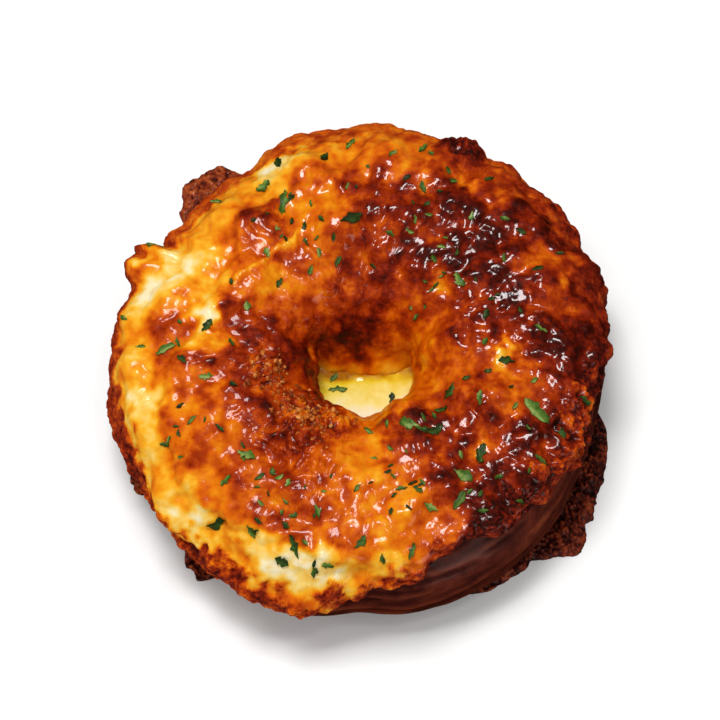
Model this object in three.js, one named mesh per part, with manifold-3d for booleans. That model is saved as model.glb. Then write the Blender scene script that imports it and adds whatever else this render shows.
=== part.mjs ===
// Cheese crust bagel: a baked ring of bread under a blanket of melted, browned cheese.
// The hole holds a set pool of soft cheese, and fried cheese wafers stick out round the base.
// Millimetres and degrees, +Z up. The origin is at the middle of the base of the whole part.
// A place on the ring is a bearing, counted anticlockwise round the axis from +X, and a lean:
// 0 on the crown of the ring, 90 on its outer side, -90 on the wall of its hole.
import * as THREE from "three";
import { ParametricGeometry } from "three/addons/geometries/ParametricGeometry.js";
import { mergeVertices } from "three/addons/utils/BufferGeometryUtils.js";
import Module from "manifold-3d";

const wasm = await Module();
wasm.setup();

// Bread ring
const BREAD_WIDTH = 110; // across X, without the cheese
const BREAD_DEPTH = 113; // across Y, without the cheese
const HOLE_RADIUS = 14;
const HOLE_SHIFT = { x: 1, y: -3 }; // middle of the hole, from the middle of the ring
const WAIST_HEIGHT = 14; // height of the ring's widest line
const CROWN_RISE = 18.5; // from the waist to the crown
const BASE_DROP = 17.5; // from the waist to the round bottom that the flat base cuts off
const FULLNESS = 2.3; // 2 is an ellipse, more is a squarer section
const RING_WAVES = [
  // bearing, and how far the outline stands out there
  [0, 0.7], [15, 1.3], [28, 0], [42, 0.3], [60, -1.6], [80, -0.9], [100, -1.5], [125, -6],
  [142, -5], [160, -2.4], [172, 0.3], [195, 1.8], [215, 1], [240, 1.2], [257, 2.5], [270, 0.4],
  [282, 1.8], [302, 2], [345, -0.3],
];

// Cheese blanket
const GAP = 0.3; // between one solid and the next
const FACET_GAP = 0.35; // more under the blanket, where its flat facets bridge the round bread
const CHEESE_THICK = 3.3; // on the crown
const CHEESE_EDGE = 1.2; // at the rim and in the hole
const EDGE_TAPER = 0.1; // share of the blanket's width over which it thins to its edge
const CHEESE_LEAST = 0.8; // in the deepest hollow
const HOLE_EDGE_LEAN = -94;
const RIM_LEAN = [
  // bearing, and the lean at which the cheese stops on the outer side
  [8, 68], [22, 88], [60, 92], [100, 94], [146, 84], [167, 68], [194, 60], [210, 64],
  [224, 80], [241, 92], [258, 90], [268, 74], [275, 60], [283, 58], [289, 47],
  [296, 45], [306, 50], [314, 45], [326, 49], [340, 55], [351, 57],
];
const DOME_EDGE_LEAN = [
  // bearing, and the lean at which the browned dome steps down to the pale cheese
  [80, 62], [96, 20], [114, 21], [130, 22], [153, 4], [176, 2], [190, 21], [210, 38],
  [220, 46], [237, 41], [255, 34], [268, 42], [281, 43], [292, 58],
];
const DOME_STEP = 1.5; // how far the pale cheese lies below the dome
const DOME_STEP_SPREAD = 7; // degrees of lean over which it steps down
const RIM_BEAD_RISE = 1.3; // the browned bead outside the pale cheese
const RIM_BEAD_INSET = 16; // degrees of lean from the cheese's edge to the bead
const RIM_BEAD_FALL = 3; // how fast the bead falls off to its sides
const MOUNDS = [
  // bearing, lean, half length round the ring, half width across it, rise
  [156, 58, 4.8, 6, 3.4], // the ear of cheese that curls off the rim
  [64, 56, 5, 5, 1.2], // burnt lump on the far rim
  [357, 56, 4, 5, 1.6], // flap on the right of the rim
  [263, 36, 10, 4, 1.4], // lip of the dome over the pale cheese
  [296, -38, 7, 6, 1.8],
  [281, 9, 8, 6, 1.2],
  [332, -2, 9, 8, 1.2],
  [209, -24, 7, 7, 1.3],
  [215, 16, 8, 6, 1.0],
  [94, -15, 10, 7, 1.2],
  [62, 22, 9, 7, 1.0],
  [24, 27, 10, 8, 1.1],
  [132, 25, 7, 6, 1.3],
  [112, 9, 7, 5, -1.2], // hollows
  [36, -40, 7, 7, -0.9],
  [318, 8, 8, 5, -1.2],
  [150, -31, 8, 7, -0.8],
];
const MOUND_FALL = 1.2; // how fast a mound falls off
const MOUND_BLUNTNESS = 1.5; // 1 is a bell, more has a flatter top
const LUMPS = [
  // length of a wave across the plan, its direction, its start in degrees, and its rise
  [19, 20, 40, 0.4],
  [15, 95, 160, 0.35],
  [12, 150, 300, 0.3],
  [10, 60, 75, 0.25],
  [9, 125, 210, 0.25],
];
const FLOW_EDGE = 1.6; // Y at which the cheese that ran down the far wall meets the pool
const FLOW_SLOPE = 0.35; // how far that cheese lies back, per height
const FLOW_TOP_LEAN = -35; // where it starts below the crown
const FLOW_FOOT_LEAN = -90; // where it is full
const FLOW_BLEND = 1.2; // rounding of the hollow between it and the rest of the cheese

// Chopped herb flakes: the largest have places of their own, and the small ones are spread by a rule
const LARGE_HERBS = [
  // bearing, lean, length, turn of the flake from +X
  [334, 19, 6.2, -52], [94, -17, 4.6, 25], [184, 24, 4.4, 28], [326, -33, 3.9, 45], [304, -26, 4.4, 27],
  [300, -33, 4.1, 3], [30, -24, 3.7, -70], [118, 16, 6, 78], [234, 47, 4.6, 12], [252, 46, 3, -28],
  [230, 5, 3.7, -30], [254, 36, 5.3, -66], [299, 20, 4.6, 57], [304, 8, 4.1, -33], [313, 5, 4.3, 70],
];
const POOL_HERBS = [
  // bearing, reach from the axis, length, turn
  [218, 6.3, 3.9, 0], [320, 9.6, 2.6, 80], [191, 6, 2.4, 60],
];
const SMALL_HERB_COUNT = 50;
const SMALL_HERB_LENGTH = { from: 1.9, to: 3.6 };
const HERB_LEAN = { from: -44, to: 56 };
const HERB_RIM_MARGIN = 12; // degrees of lean kept free at the cheese's edge
const HERB_CROWDING = 0.75; // under 1 puts more of them on the wide outer part of the ring
const HERB_WIDTH = { from: 1.1, to: 1.8 };
const HERB_THICK = 1.2;
const HERB_SINK = 0.25; // how far a flake's middle lies below the cheese's skin

// Soft cheese in the hole
const POOL_LEVEL = 11.6;
const POOL_DISH = 0.5; // how far its middle lies below its edge

// Fried wafers round the base, each through pairs of a bearing and its reach from the axis
const WAFER_THICK = 2;
const WAFER_LUMPS = 0.7; // share of the blanket's lumps
const WAFER_LEAST_REACH = 0.5; // past the bread, at both ends
const WAFER_BLUNTNESS = 3; // the higher, the later a wafer thins towards its edge
const WAFERS = {
  wafer_front_right: [
    [295, 55], [303, 57], [313, 57.3], [322, 63.6], [330, 61], [340, 59.6], [349, 58.2], [356, 55],
  ],
  wafer_back_left: [[110, 53], [116, 62], [121, 67], [128, 67.2], [133, 62.5], [137, 53]],
  wafer_front_left: [[222, 54], [228, 58.2], [232, 58], [237, 54]],
  wafer_left: [[198, 54], [203, 57], [206, 56.6], [210, 54]],
};

const { degToRad, lerp, smoothstep } = THREE.MathUtils;
const fraction = (x) => x - Math.floor(x);

// A smooth curve once round the ring through pairs of a bearing and a value.
function roundRing(stops, bearing) {
  const first = stops[0][0];
  const at = first + (((bearing - first) % 360) + 360) % 360;
  const next = stops.findIndex(([b]) => b > at);
  const before = stops.at(next < 0 ? -1 : next - 1);
  const after = next < 0 ? [first + 360, stops[0][1]] : stops[next];
  return lerp(before[1], after[1], smoothstep(at, before[0], after[0]));
}

// The ring's outer and hole radius at a bearing, as the middle and half width of its section.
function sectionAt(bearing) {
  const t = degToRad(bearing);
  const oval = 1 / Math.hypot(Math.cos(t) / (BREAD_WIDTH / 2), Math.sin(t) / (BREAD_DEPTH / 2));
  const outer = oval + roundRing(RING_WAVES, bearing);
  const hole = HOLE_RADIUS + HOLE_SHIFT.x * Math.cos(t) + HOLE_SHIFT.y * Math.sin(t);
  return { middle: (outer + hole) / 2, half: (outer - hole) / 2 };
}

// The bread's skin at a place, as its radius and height, with the outward direction of its section.
function skinAt(bearing, lean) {
  const { middle, half } = sectionAt(bearing);
  const out = Math.sin(degToRad(lean));
  const up = Math.cos(degToRad(lean));
  const height = up > 0 ? CROWN_RISE : BASE_DROP;
  const reach = (Math.abs(out / half) ** FULLNESS + Math.abs(up / height) ** FULLNESS) ** (-1 / FULLNESS);
  const normalOut = (Math.sign(out) * Math.abs((reach * out) / half) ** (FULLNESS - 1)) / half;
  const normalUp = (Math.sign(up) * Math.abs((reach * up) / height) ** (FULLNESS - 1)) / height;
  const scale = 1 / Math.hypot(normalOut, normalUp);
  return {
    radius: middle + reach * out,
    z: WAIST_HEIGHT + reach * up,
    normalOut: normalOut * scale,
    normalUp: normalUp * scale,
  };
}

// A point a given rise above the bread's skin, written to target.
function overBread(bearing, lean, rise, target) {
  const skin = skinAt(bearing, lean);
  const radius = skin.radius + rise * skin.normalOut;
  const z = Math.max(0, skin.z + rise * skin.normalUp);
  return target.set(radius * Math.cos(degToRad(bearing)), radius * Math.sin(degToRad(bearing)), z);
}

// The radius at which the bread's skin has a height below its waist, on its outer side or in its hole.
function skinRadius(bearing, z, side) {
  const { middle, half } = sectionAt(bearing);
  return middle + side * half * (1 - ((WAIST_HEIGHT - z) / BASE_DROP) ** FULLNESS) ** (1 / FULLNESS);
}

// A closed solid from a geometry: shared corners are merged, and triangles folded flat are dropped.
function solidFrom(geometry) {
  const sameCorner = 1e-4;
  geometry.deleteAttribute("normal");
  geometry.deleteAttribute("uv");
  const merged = mergeVertices(geometry, sameCorner);
  const corners = merged.index.array;
  const kept = [];
  for (let i = 0; i < corners.length; i += 3) {
    const [a, b, c] = corners.slice(i, i + 3);
    if (a !== b && b !== c && c !== a) kept.push(a, b, c);
  }
  return new wasm.Manifold(
    new wasm.Mesh({
      numProp: 3,
      vertProperties: merged.attributes.position.array,
      triVerts: new Uint32Array(kept),
    }),
  );
}

function meshFrom(name, solid, colour, roughness) {
  const { vertProperties, triVerts } = solid.getMesh();
  const geometry = new THREE.BufferGeometry();
  geometry.setAttribute("position", new THREE.BufferAttribute(vertProperties, 3));
  geometry.setIndex(new THREE.BufferAttribute(triVerts, 1));
  geometry.computeVertexNormals();
  const material = new THREE.MeshStandardMaterial({ color: colour, roughness, metalness: 0 });
  const mesh = new THREE.Mesh(geometry, material);
  mesh.name = name;
  return mesh;
}

// Bread: the section carried once round the ring.
function breadSolid() {
  const columns = 56;
  const rows = 20;
  const skin = (u, v, target) => overBread(360 * u, -360 * v, 0, target);
  return solidFrom(new ParametricGeometry(skin, columns, rows));
}

// How far a place lies inside a mound: 1 on its blunt top, falling off to its sides.
function moundShare([bearing, lean, length, width], atBearing, atLean) {
  const { middle, half } = sectionAt(bearing);
  const turn = 2 * Math.PI * (fraction((atBearing - bearing) / 360 + 0.5) - 0.5);
  const along = (turn * (middle + half * Math.sin(degToRad(lean)))) / length;
  const across = (degToRad(atLean - lean) * CROWN_RISE) / width;
  return Math.exp(-MOUND_FALL * (along * along + across * across) ** MOUND_BLUNTNESS);
}

// The crust's uneven lumps, as waves that cross each other in plan.
function lumpRise(bearing, radius) {
  return LUMPS.reduce((sum, [length, direction, start, rise]) => {
    const along = radius * Math.cos(degToRad(bearing - direction));
    return sum + rise * Math.sin((2 * Math.PI * along) / length + degToRad(start));
  }, 0);
}

// The thickness that brings the cheese out to the sloping face of what ran down the far wall.
function flowThickness(bearing, lean) {
  const skin = skinAt(bearing, lean);
  const far = Math.sin(degToRad(bearing));
  const behind = skin.radius * far - FLOW_EDGE - (skin.z - POOL_LEVEL) * FLOW_SLOPE;
  const closing = skin.normalUp * FLOW_SLOPE - skin.normalOut * far;
  const share = smoothstep(-lean, -FLOW_TOP_LEAN, -FLOW_FOOT_LEAN);
  return behind > 0 && share > 0 ? (share * behind) / closing : 0;
}

// The larger of two lengths, rounded where they are alike.
const blendMax = (a, b, blend) => (a + b + Math.hypot(a - b, blend)) / 2;

// Thickness of the cheese at a place: the dome, its step down to the pale cheese, the bead and the mounds.
function cheeseThickness(bearing, lean) {
  const rim = roundRing(RIM_LEAN, bearing);
  const domeEdge = roundRing(DOME_EDGE_LEAN, bearing);
  const share = (lean - HOLE_EDGE_LEAN) / (rim - HOLE_EDGE_LEAN);
  const full = smoothstep(Math.min(share, 1 - share), 0, EDGE_TAPER);
  const pale = smoothstep(lean, domeEdge - DOME_STEP_SPREAD / 2, domeEdge + DOME_STEP_SPREAD / 2);
  const bead = pale * Math.exp(-RIM_BEAD_FALL * ((rim - RIM_BEAD_INSET - lean) / RIM_BEAD_INSET) ** 2);
  const mounds = MOUNDS.reduce((sum, m) => sum + m[4] * moundShare(m, bearing, lean), 0);
  const sheet = CHEESE_THICK - DOME_STEP * pale + RIM_BEAD_RISE * bead;
  const lumps = lumpRise(bearing, skinAt(bearing, lean).radius);
  const own = lerp(CHEESE_EDGE, sheet + lumps, full) + mounds;
  const flow = flowThickness(bearing, lean);
  return Math.max(CHEESE_LEAST, flow > 0 ? blendMax(own, flow, FLOW_BLEND) : own);
}

// Cheese blanket: over the top from the rim to the hole, then back to the rim along the bread's skin.
function blanketSolid() {
  const columns = 100;
  const topRows = 24;
  const underRows = 13;
  const rows = topRows + underRows;
  const skin = (u, v, target) => {
    const bearing = 360 * u;
    const row = Math.round(v * rows) % rows;
    const onTop = row <= topRows;
    const share = onTop ? 1 - row / topRows : (row - topRows - 1) / (underRows - 2);
    const lean = lerp(HOLE_EDGE_LEAN, roundRing(RIM_LEAN, bearing), share);
    return overBread(bearing, lean, GAP + (onTop ? cheeseThickness(bearing, lean) : FACET_GAP), target);
  };
  return solidFrom(new ParametricGeometry(skin, columns, rows));
}

// A repeatable draw from 0 to 1 for a numbered flake.
const draw = (number, salt) => fraction(Math.sin((number + 1) * 12.9898 + salt * 78.233) * 43758.5453);

// A leaf-shaped flake of a length and turn, lying at a point on a surface with a given normal.
function flakeSolid(point, normal, length, turn, number) {
  const width = lerp(HERB_WIDTH.from, HERB_WIDTH.to, draw(number, 2));
  const flake = new THREE.SphereGeometry(0.5, 6, 2);
  flake.rotateX(Math.PI / 2);
  flake.scale(length, width, HERB_THICK);
  flake.rotateZ(degToRad(turn));
  flake.applyQuaternion(new THREE.Quaternion().setFromUnitVectors(new THREE.Vector3(0, 0, 1), normal));
  flake.translate(point.x, point.y, point.z);
  return solidFrom(flake);
}

// A flake on the blanket, a little sunk into it.
function blanketFlake([bearing, lean, length, turn], number) {
  const rise = GAP + cheeseThickness(bearing, lean) - HERB_SINK;
  const point = overBread(bearing, lean, rise, new THREE.Vector3());
  const above = overBread(bearing, lean, rise + 1, new THREE.Vector3());
  return flakeSolid(point, above.sub(point).normalize(), length, turn, number);
}

// Small flakes spread evenly: bearings step by the golden angle, leans by the plastic number.
function smallHerb(number) {
  const GOLDEN_TURN = 137.50776;
  const PLASTIC_STEP = 0.7548777;
  const bearing = (number * GOLDEN_TURN) % 360;
  const rim = Math.min(HERB_LEAN.to, roundRing(RIM_LEAN, bearing) - HERB_RIM_MARGIN);
  const lean = lerp(HERB_LEAN.from, rim, fraction(0.5 + number * PLASTIC_STEP) ** HERB_CROWDING);
  const length = lerp(SMALL_HERB_LENGTH.from, SMALL_HERB_LENGTH.to, draw(number, 1));
  return [bearing, lean, length, 360 * draw(number, 3)];
}

function blanketFlakes() {
  const small = Array.from({ length: SMALL_HERB_COUNT }, (_, number) => smallHerb(number));
  return [...small, ...LARGE_HERBS].map(blanketFlake);
}

// Soft cheese: fills the hole up to its level, with a slightly dished top and a flat base.
function poolSolid() {
  const columns = 40;
  const rows = 10;
  const wallFrom = 0.3; // shares of the profile: base, then wall, then top
  const wallTo = 0.7;
  const skin = (u, v, target) => {
    const bearing = 360 * u;
    const z = POOL_LEVEL * THREE.MathUtils.clamp((v - wallFrom) / (wallTo - wallFrom), 0, 1);
    const share = Math.min(1, v / wallFrom, (1 - v) / (1 - wallTo));
    const radius = share * (skinRadius(bearing, z, -1) - GAP);
    const dish = v > wallTo ? POOL_DISH * (1 - share * share) : 0;
    return target.set(radius * Math.cos(degToRad(bearing)), radius * Math.sin(degToRad(bearing)), z - dish);
  };
  return solidFrom(new ParametricGeometry(skin, columns, rows));
}

function poolFlakes() {
  const up = new THREE.Vector3(0, 0, 1);
  return POOL_HERBS.map(([bearing, reach, length, turn], number) => {
    const t = degToRad(bearing);
    const point = new THREE.Vector3(reach * Math.cos(t), reach * Math.sin(t), POOL_LEVEL - POOL_DISH / 2);
    return flakeSolid(point, up, length, turn, number);
  });
}

// Wafer: a flat lumpy tongue out of the foot of the ring, thinning out at both ends and at its edge.
function waferSolid(reach) {
  const from = reach[0][0];
  const to = reach.at(-1)[0];
  const endColumns = 6;
  const degreesPerColumn = 3;
  const columns = Math.round(endColumns + (to - from) / degreesPerColumn);
  const steps = 5; // across the base and across the top
  const rows = 2 * steps + 1;
  const skin = (u, v, target) => {
    const bearing = lerp(from, to, u);
    const t = degToRad(bearing);
    const row = Math.round(v * rows) % rows;
    const onTop = row > steps;
    const share = (onTop ? rows - 1 - row : row) / steps;
    const foot = skinRadius(bearing, 0, 1) + GAP;
    const outer = Math.max(foot + WAFER_LEAST_REACH, roundRing(reach, bearing));
    const height = (radius, edge) => {
      const lumpy = WAFER_THICK + WAFER_LUMPS * lumpRise(bearing, radius);
      return lumpy * Math.sqrt(Math.sin(Math.PI * u) * (1 - edge ** WAFER_BLUNTNESS));
    };
    const inner = onTop ? skinRadius(bearing, height(foot, 0), 1) + GAP : foot;
    const radius = lerp(inner, outer, share);
    return target.set(radius * Math.cos(t), radius * Math.sin(t), onTop ? height(radius, share) : 0);
  };
  return solidFrom(new ParametricGeometry(skin, columns, rows));
}

const BREAD_BROWN = 0x4a1c0c;
const CHEESE_ORANGE = 0xb85a10;
const POOL_CREAM = 0xf0d484;
const WAFER_BROWN = 0x4e1a0b;

const ring = new THREE.Group();
const blanket = wasm.Manifold.union([blanketSolid(), ...blanketFlakes()]);
const pool = wasm.Manifold.union([poolSolid(), ...poolFlakes()]);
ring.add(meshFrom("bread_ring", breadSolid(), BREAD_BROWN, 0.35));
ring.add(meshFrom("cheese_blanket", blanket, CHEESE_ORANGE, 0.25));
ring.add(meshFrom("cheese_pool", pool, POOL_CREAM, 0.2));
Object.entries(WAFERS).forEach(([name, reach]) => {
  ring.add(meshFrom(name, waferSolid(reach), WAFER_BROWN, 0.5));
});

// The ring is set so that the middle of the whole part's base is at the origin.
const box = new THREE.Box3().setFromObject(ring);
const middle = box.getCenter(new THREE.Vector3());
ring.position.set(-middle.x, -middle.y, -box.min.z);

const bagel = new THREE.Group();
bagel.add(ring);

export default bagel;
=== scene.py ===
# %% [markdown]
# # A cheese crust bagel
# The object is a baked bread ring under a blanket of melted cheese. The cheese browned to deep red on
# one side, stayed pale and soft on the other, ran into the hole and set there as a pool, and fried to
# thin crisp wafers where it reached the tray. Chopped green herbs lie all over it.
# A CAD part gives the exact sizes. Its solids could be coloured as they are, but they are too coarse for
# blisters and grains. So this lesson loads that part as a fixed frame and rebuilds each of its solids with
# a finer surface and a finish of its own.

import bpy
import bmesh
import numpy as np
from mathutils import Matrix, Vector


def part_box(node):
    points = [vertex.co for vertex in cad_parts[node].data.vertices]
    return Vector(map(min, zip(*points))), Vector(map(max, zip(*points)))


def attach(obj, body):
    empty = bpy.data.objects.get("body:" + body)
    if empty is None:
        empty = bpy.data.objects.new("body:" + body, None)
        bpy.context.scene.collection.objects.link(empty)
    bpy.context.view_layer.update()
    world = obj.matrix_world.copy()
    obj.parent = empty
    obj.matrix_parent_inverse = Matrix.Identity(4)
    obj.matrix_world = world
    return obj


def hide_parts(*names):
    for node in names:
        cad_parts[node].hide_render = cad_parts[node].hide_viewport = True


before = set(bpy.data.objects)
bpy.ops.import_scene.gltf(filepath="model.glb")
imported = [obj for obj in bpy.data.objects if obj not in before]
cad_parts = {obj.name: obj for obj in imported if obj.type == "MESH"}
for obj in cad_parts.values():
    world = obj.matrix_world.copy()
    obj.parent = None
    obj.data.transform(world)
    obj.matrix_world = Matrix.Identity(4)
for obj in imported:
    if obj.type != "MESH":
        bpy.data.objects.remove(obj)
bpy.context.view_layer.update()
print("CAD nodes:", ", ".join(sorted(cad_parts)))

# %% [markdown]
# ## Places on a ring
# Every piece of a bagel follows the ring. Places on it could be given as X, Y and Z, but they are easier to
# read as a bearing, counted anticlockwise round the axis from +X, and a lean across the section: 0 on the
# crown, 90 on the outer side, -90 on the wall of the hole. Sizes round the ring that change smoothly are a
# few stops of a bearing and a value, joined by smooth steps. All lengths are millimetres until a mesh is
# made.

# %% Smooth steps and values that change round the ring
def smooth_step(value, low, high):
    """0 below low, 1 above high, and between them 3 t squared minus 2 t cubed."""
    share = np.clip((value - low) / (high - low), 0, 1)
    return share * share * (3 - 2 * share)


def mix(first, second, share):
    """The straight blend of two values: first at share 0, second at share 1."""
    return first + (second - first) * share


def wrapped(degrees):
    """The same turn, counted from -180 to 180."""
    return (degrees + 180) % 360 - 180


def round_ring(stops, bearing):
    """A closed curve through (bearing, value) stops, with a smooth step from each stop to the next."""
    places, values = np.array(stops, float).T
    places = np.append(places, places[0] + 360)
    values = np.append(values, values[0])
    turned = places[0] + (bearing - places[0]) % 360
    before = np.clip(np.searchsorted(places, turned, side="right") - 1, 0, len(stops) - 1)
    share = smooth_step(turned, places[before], places[before + 1])
    return mix(values[before], values[before + 1], share)


print("a quarter of the way along, a smooth step is at", smooth_step(0.25, 0, 1))

# %% [markdown]
# ## The bread's skin
# The section of the ring is a fat oval: a superellipse, which is an ellipse with a power a little over 2.
# The baker's hands made the outline uneven, so the outer radius has waves. A torus could be pulled into this
# shape, but the same named sizes and formulas as in the CAD part put every surface exactly on its solid.

# %% The ring's section and skin
MM_PER_METRE = 1000
BREAD_WIDTH = 110
BREAD_DEPTH = 113
HOLE_RADIUS = 14
HOLE_SHIFT_X = 1
HOLE_SHIFT_Y = -3
WAIST_HEIGHT = 14
CROWN_RISE = 18.5
BASE_DROP = 17.5
FULLNESS = 2.3
# bearing, and how far the outline stands out from its oval
RING_WAVES = [
    (0, 0.7), (15, 1.3), (28, 0), (42, 0.3), (60, -1.6), (80, -0.9), (100, -1.5), (125, -6), (142, -5),
    (160, -2.4), (172, 0.3), (195, 1.8), (215, 1), (240, 1.2), (257, 2.5), (270, 0.4), (282, 1.8),
    (302, 2), (345, -0.3),
]


def section(bearing):
    """Middle radius and half width of the ring: the oval outline with its waves, and the shifted hole."""
    turn = np.radians(bearing)
    oval = 1 / np.hypot(np.cos(turn) / (BREAD_WIDTH / 2), np.sin(turn) / (BREAD_DEPTH / 2))
    outer = oval + round_ring(RING_WAVES, bearing)
    hole = HOLE_RADIUS + HOLE_SHIFT_X * np.cos(turn) + HOLE_SHIFT_Y * np.sin(turn)
    return (outer + hole) / 2, (outer - hole) / 2


def skin(bearing, lean):
    """Radius and height of the skin where a ray at that lean meets the superellipse, and its normal."""
    middle, half = section(bearing)
    out = np.sin(np.radians(lean))
    up = np.cos(np.radians(lean))
    height = np.where(up > 0, CROWN_RISE, BASE_DROP)
    reach = (np.abs(out / half) ** FULLNESS + np.abs(up / height) ** FULLNESS) ** (-1 / FULLNESS)
    normal_out = np.sign(out) * np.abs(reach * out / half) ** (FULLNESS - 1) / half
    normal_up = np.sign(up) * np.abs(reach * up / height) ** (FULLNESS - 1) / height
    length = np.hypot(normal_out, normal_up)
    return middle + reach * out, WAIST_HEIGHT + reach * up, normal_out / length, normal_up / length


def at_bearing(bearing, radius, height):
    """Points at a bearing, a radius from the ring's axis and a height over the base."""
    turn = np.radians(bearing)
    return np.stack(np.broadcast_arrays(radius * np.cos(turn), radius * np.sin(turn), height), -1)


def over_bread(bearing, lean, rise):
    """Points that stand a rise off the skin along its normal, never below the base."""
    radius, height, normal_out, normal_up = skin(bearing, lean)
    return at_bearing(bearing, radius + rise * normal_out, np.maximum(0, height + rise * normal_up))


def skin_radius(bearing, height, side):
    """Radius of the skin at a height below the waist: side 1 is the outside and -1 the hole."""
    middle, half = section(bearing)
    return middle + side * half * (1 - ((WAIST_HEIGHT - height) / BASE_DROP) ** FULLNESS) ** (1 / FULLNESS)


print("the crown of the bread is", skin(0.0, 0.0)[1], "mm high")

# %% [markdown]
# ## The ring's axis
# The CAD part has its origin under the middle of its whole box, wafers and all, so the ring's axis lies a
# little beside it. The offset could be typed in. Here it is measured: the box round the formula's outline is
# compared with the box round the bread in the frame, so that the axis follows the part.

# %% Find the ring's axis
CAD_COLUMNS = 56  # corners round the CAD part's bread
outline = over_bread(np.arange(0, 360, 360 / CAD_COLUMNS), 90, 0)
outline_middle = (outline.min(0) + outline.max(0)) / 2 / MM_PER_METRE
bread_low, bread_high = (np.array(corner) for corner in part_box("bread_ring"))
AXIS = (bread_low + bread_high) / 2 - outline_middle
AXIS[2] = 0
print("ring axis at", AXIS[:2].round(5), "m")

# %% [markdown]
# ## Noise
# Food has no straight lines, so most of its detail is noise. Smooth noise gives rolling lumps and blotches.
# Grains, round bumps with creases between them, give bubbles and crumbs. A displace modifier with a texture
# could do the same. Here both are worked out at points in space, so they have no seam anywhere on the ring.
# A salt is a number that picks one of many patterns.

# %% Noise and grains
HASH_WEIGHTS = np.array([127.1, 311.7, 74.7])  # uneven numbers that only have to stir the places well
HASH_SALT = 19.19
HASH_SCALE = 43758.5453
NOISE_GAIN = 1.7  # brings the noise to about -1 to 1


def fraction(value):
    """What is left of a number after its whole part."""
    return value - np.floor(value)


def hashed(cells, salt):
    """A repeatable draw from 0 to 1 for whole-number cells: the fraction of a large sine of their place."""
    return fraction(np.sin(cells @ HASH_WEIGHTS + salt * HASH_SALT) * HASH_SCALE)


def hashed_point(cells, salt):
    """Three draws for each cell, one along each axis."""
    return np.stack([hashed(cells, salt + axis / 3) for axis in range(3)], -1)


def noise(points, size, salt=0):
    """Noise from about -1 to 1: each corner of a cell has a random slope, blended by a smooth step."""
    place = points / size
    low = np.floor(place)
    inside = place - low
    fade = inside ** 3 * (inside * (inside * 6 - 15) + 10)
    total = np.zeros(points.shape[:-1])
    for corner in np.ndindex(2, 2, 2):
        slope = hashed_point(low + corner, salt) * 2 - 1
        weight = np.where(corner, fade, 1 - fade).prod(-1)
        total += weight * (slope * (inside - corner)).sum(-1)
    return total * NOISE_GAIN


def layered(points, size, salt=0, layers=3):
    """Layers of noise, each half the size and half the strength of the one before."""
    return sum(noise(points, size / 2 ** k, salt + 7 * k) / 2 ** k for k in range(layers))


def grains(points, size, salt=0):
    """Round bumps from 0 to 1: one less the squared distance to the nearest of scattered seeds."""
    place = points / size
    low = np.floor(place)
    nearest = np.full(points.shape[:-1], 1.0)
    for corner in np.ndindex(3, 3, 3):
        cell = low + corner - 1
        seed = cell + hashed_point(cell, salt)
        nearest = np.minimum(nearest, ((place - seed) ** 2).sum(-1))
    return 1 - nearest


def stirred(points, size, reach, salt):
    """Points pushed about by noise, so that grains laid on them come out uneven."""
    return points + reach * np.stack([noise(points, size, salt + axis) for axis in range(3)], -1)


sample = np.array([1.0, 2.0, 3.0])
print("noise and grains at a sample point:", layered(sample, 4.0).round(3), grains(sample, 4.0).round(3))

# %% [markdown]
# ## Making a mesh
# A grid of points becomes a mesh of four-sided faces. The grid is closed round the ring, and closed across
# it too where the piece is a tube. Points go from millimetres about the ring's axis to metres in the CAD
# frame. Each piece rides on the CAD part's one body and stands for the solid that it was made over. Blender's
# own primitives could start each piece, but a grid keeps its points in the order of bearing and lean.

# %% Turn a grid of points into a piece
WELD_DISTANCE = 2e-6  # metres
LEAST_EDGE = 1e-6  # metres


def grid_faces(rows, columns, closed_rows=True, closed_columns=True):
    """Four-sided faces of a grid, each from a point, its neighbour, the next row's neighbour and point."""
    index = np.arange(rows * columns).reshape(rows, columns)
    if closed_rows:
        index = np.vstack([index, index[:1]])
    if closed_columns:
        index = np.hstack([index, index[:, :1]])
    corners = [index[:-1, :-1], index[:-1, 1:], index[1:, 1:], index[1:, :-1]]
    return np.stack(corners, -1).reshape(-1, 4)


def repeated_faces(faces, points_each, copies):
    """Faces of many like shapes in one mesh: each copy's point numbers follow those of the copy before."""
    return (np.arange(copies)[:, None, None] * points_each + faces).reshape(-1, 4)


def weld(mesh):
    """Joins points that lie on each other, such as those at a pole, and drops the faces left without area."""
    welded = bmesh.new()
    welded.from_mesh(mesh)
    bmesh.ops.remove_doubles(welded, verts=welded.verts, dist=WELD_DISTANCE)
    bmesh.ops.dissolve_degenerate(welded, edges=welded.edges, dist=LEAST_EDGE)
    welded.to_mesh(mesh)
    welded.free()


def make_piece(name, points, faces, material, slot, stands_for=(), has_poles=False, **attributes):
    """A smooth-shaded mesh object of points in millimetres, with one number per point for each attribute."""
    mesh = bpy.data.meshes.new(name)
    mesh.from_pydata((points.reshape(-1, 3) / MM_PER_METRE + AXIS).tolist(), [], faces.tolist())
    for label, values in attributes.items():
        layer = mesh.attributes.new(label, "FLOAT", "POINT")
        layer.data.foreach_set("value", values.astype(np.float32).ravel())
    if has_poles:
        weld(mesh)
    mesh.shade_smooth()
    mesh.materials.append(material)
    piece = bpy.data.objects.new(name, mesh)
    bpy.context.scene.collection.objects.link(piece)
    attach(piece, "root")
    if stands_for:
        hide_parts(*stands_for)
    triangles = sum(len(polygon.vertices) - 2 for polygon in mesh.polygons)
    print(name, len(mesh.vertices), "points,", triangles, "triangles")
    return piece


print("a grid of 3 by 4 points, closed both ways, has", len(grid_faces(3, 4)), "faces")

# %% [markdown]
# ## Patterns for the finishes
# What the eye sees on food is a pattern: how toasted a point is, with fine noise on top. In a material these
# are nodes that give a number at each point. They could be set by hand in the shader editor. A small class
# with a short word for each kind of node keeps that readable.

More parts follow.
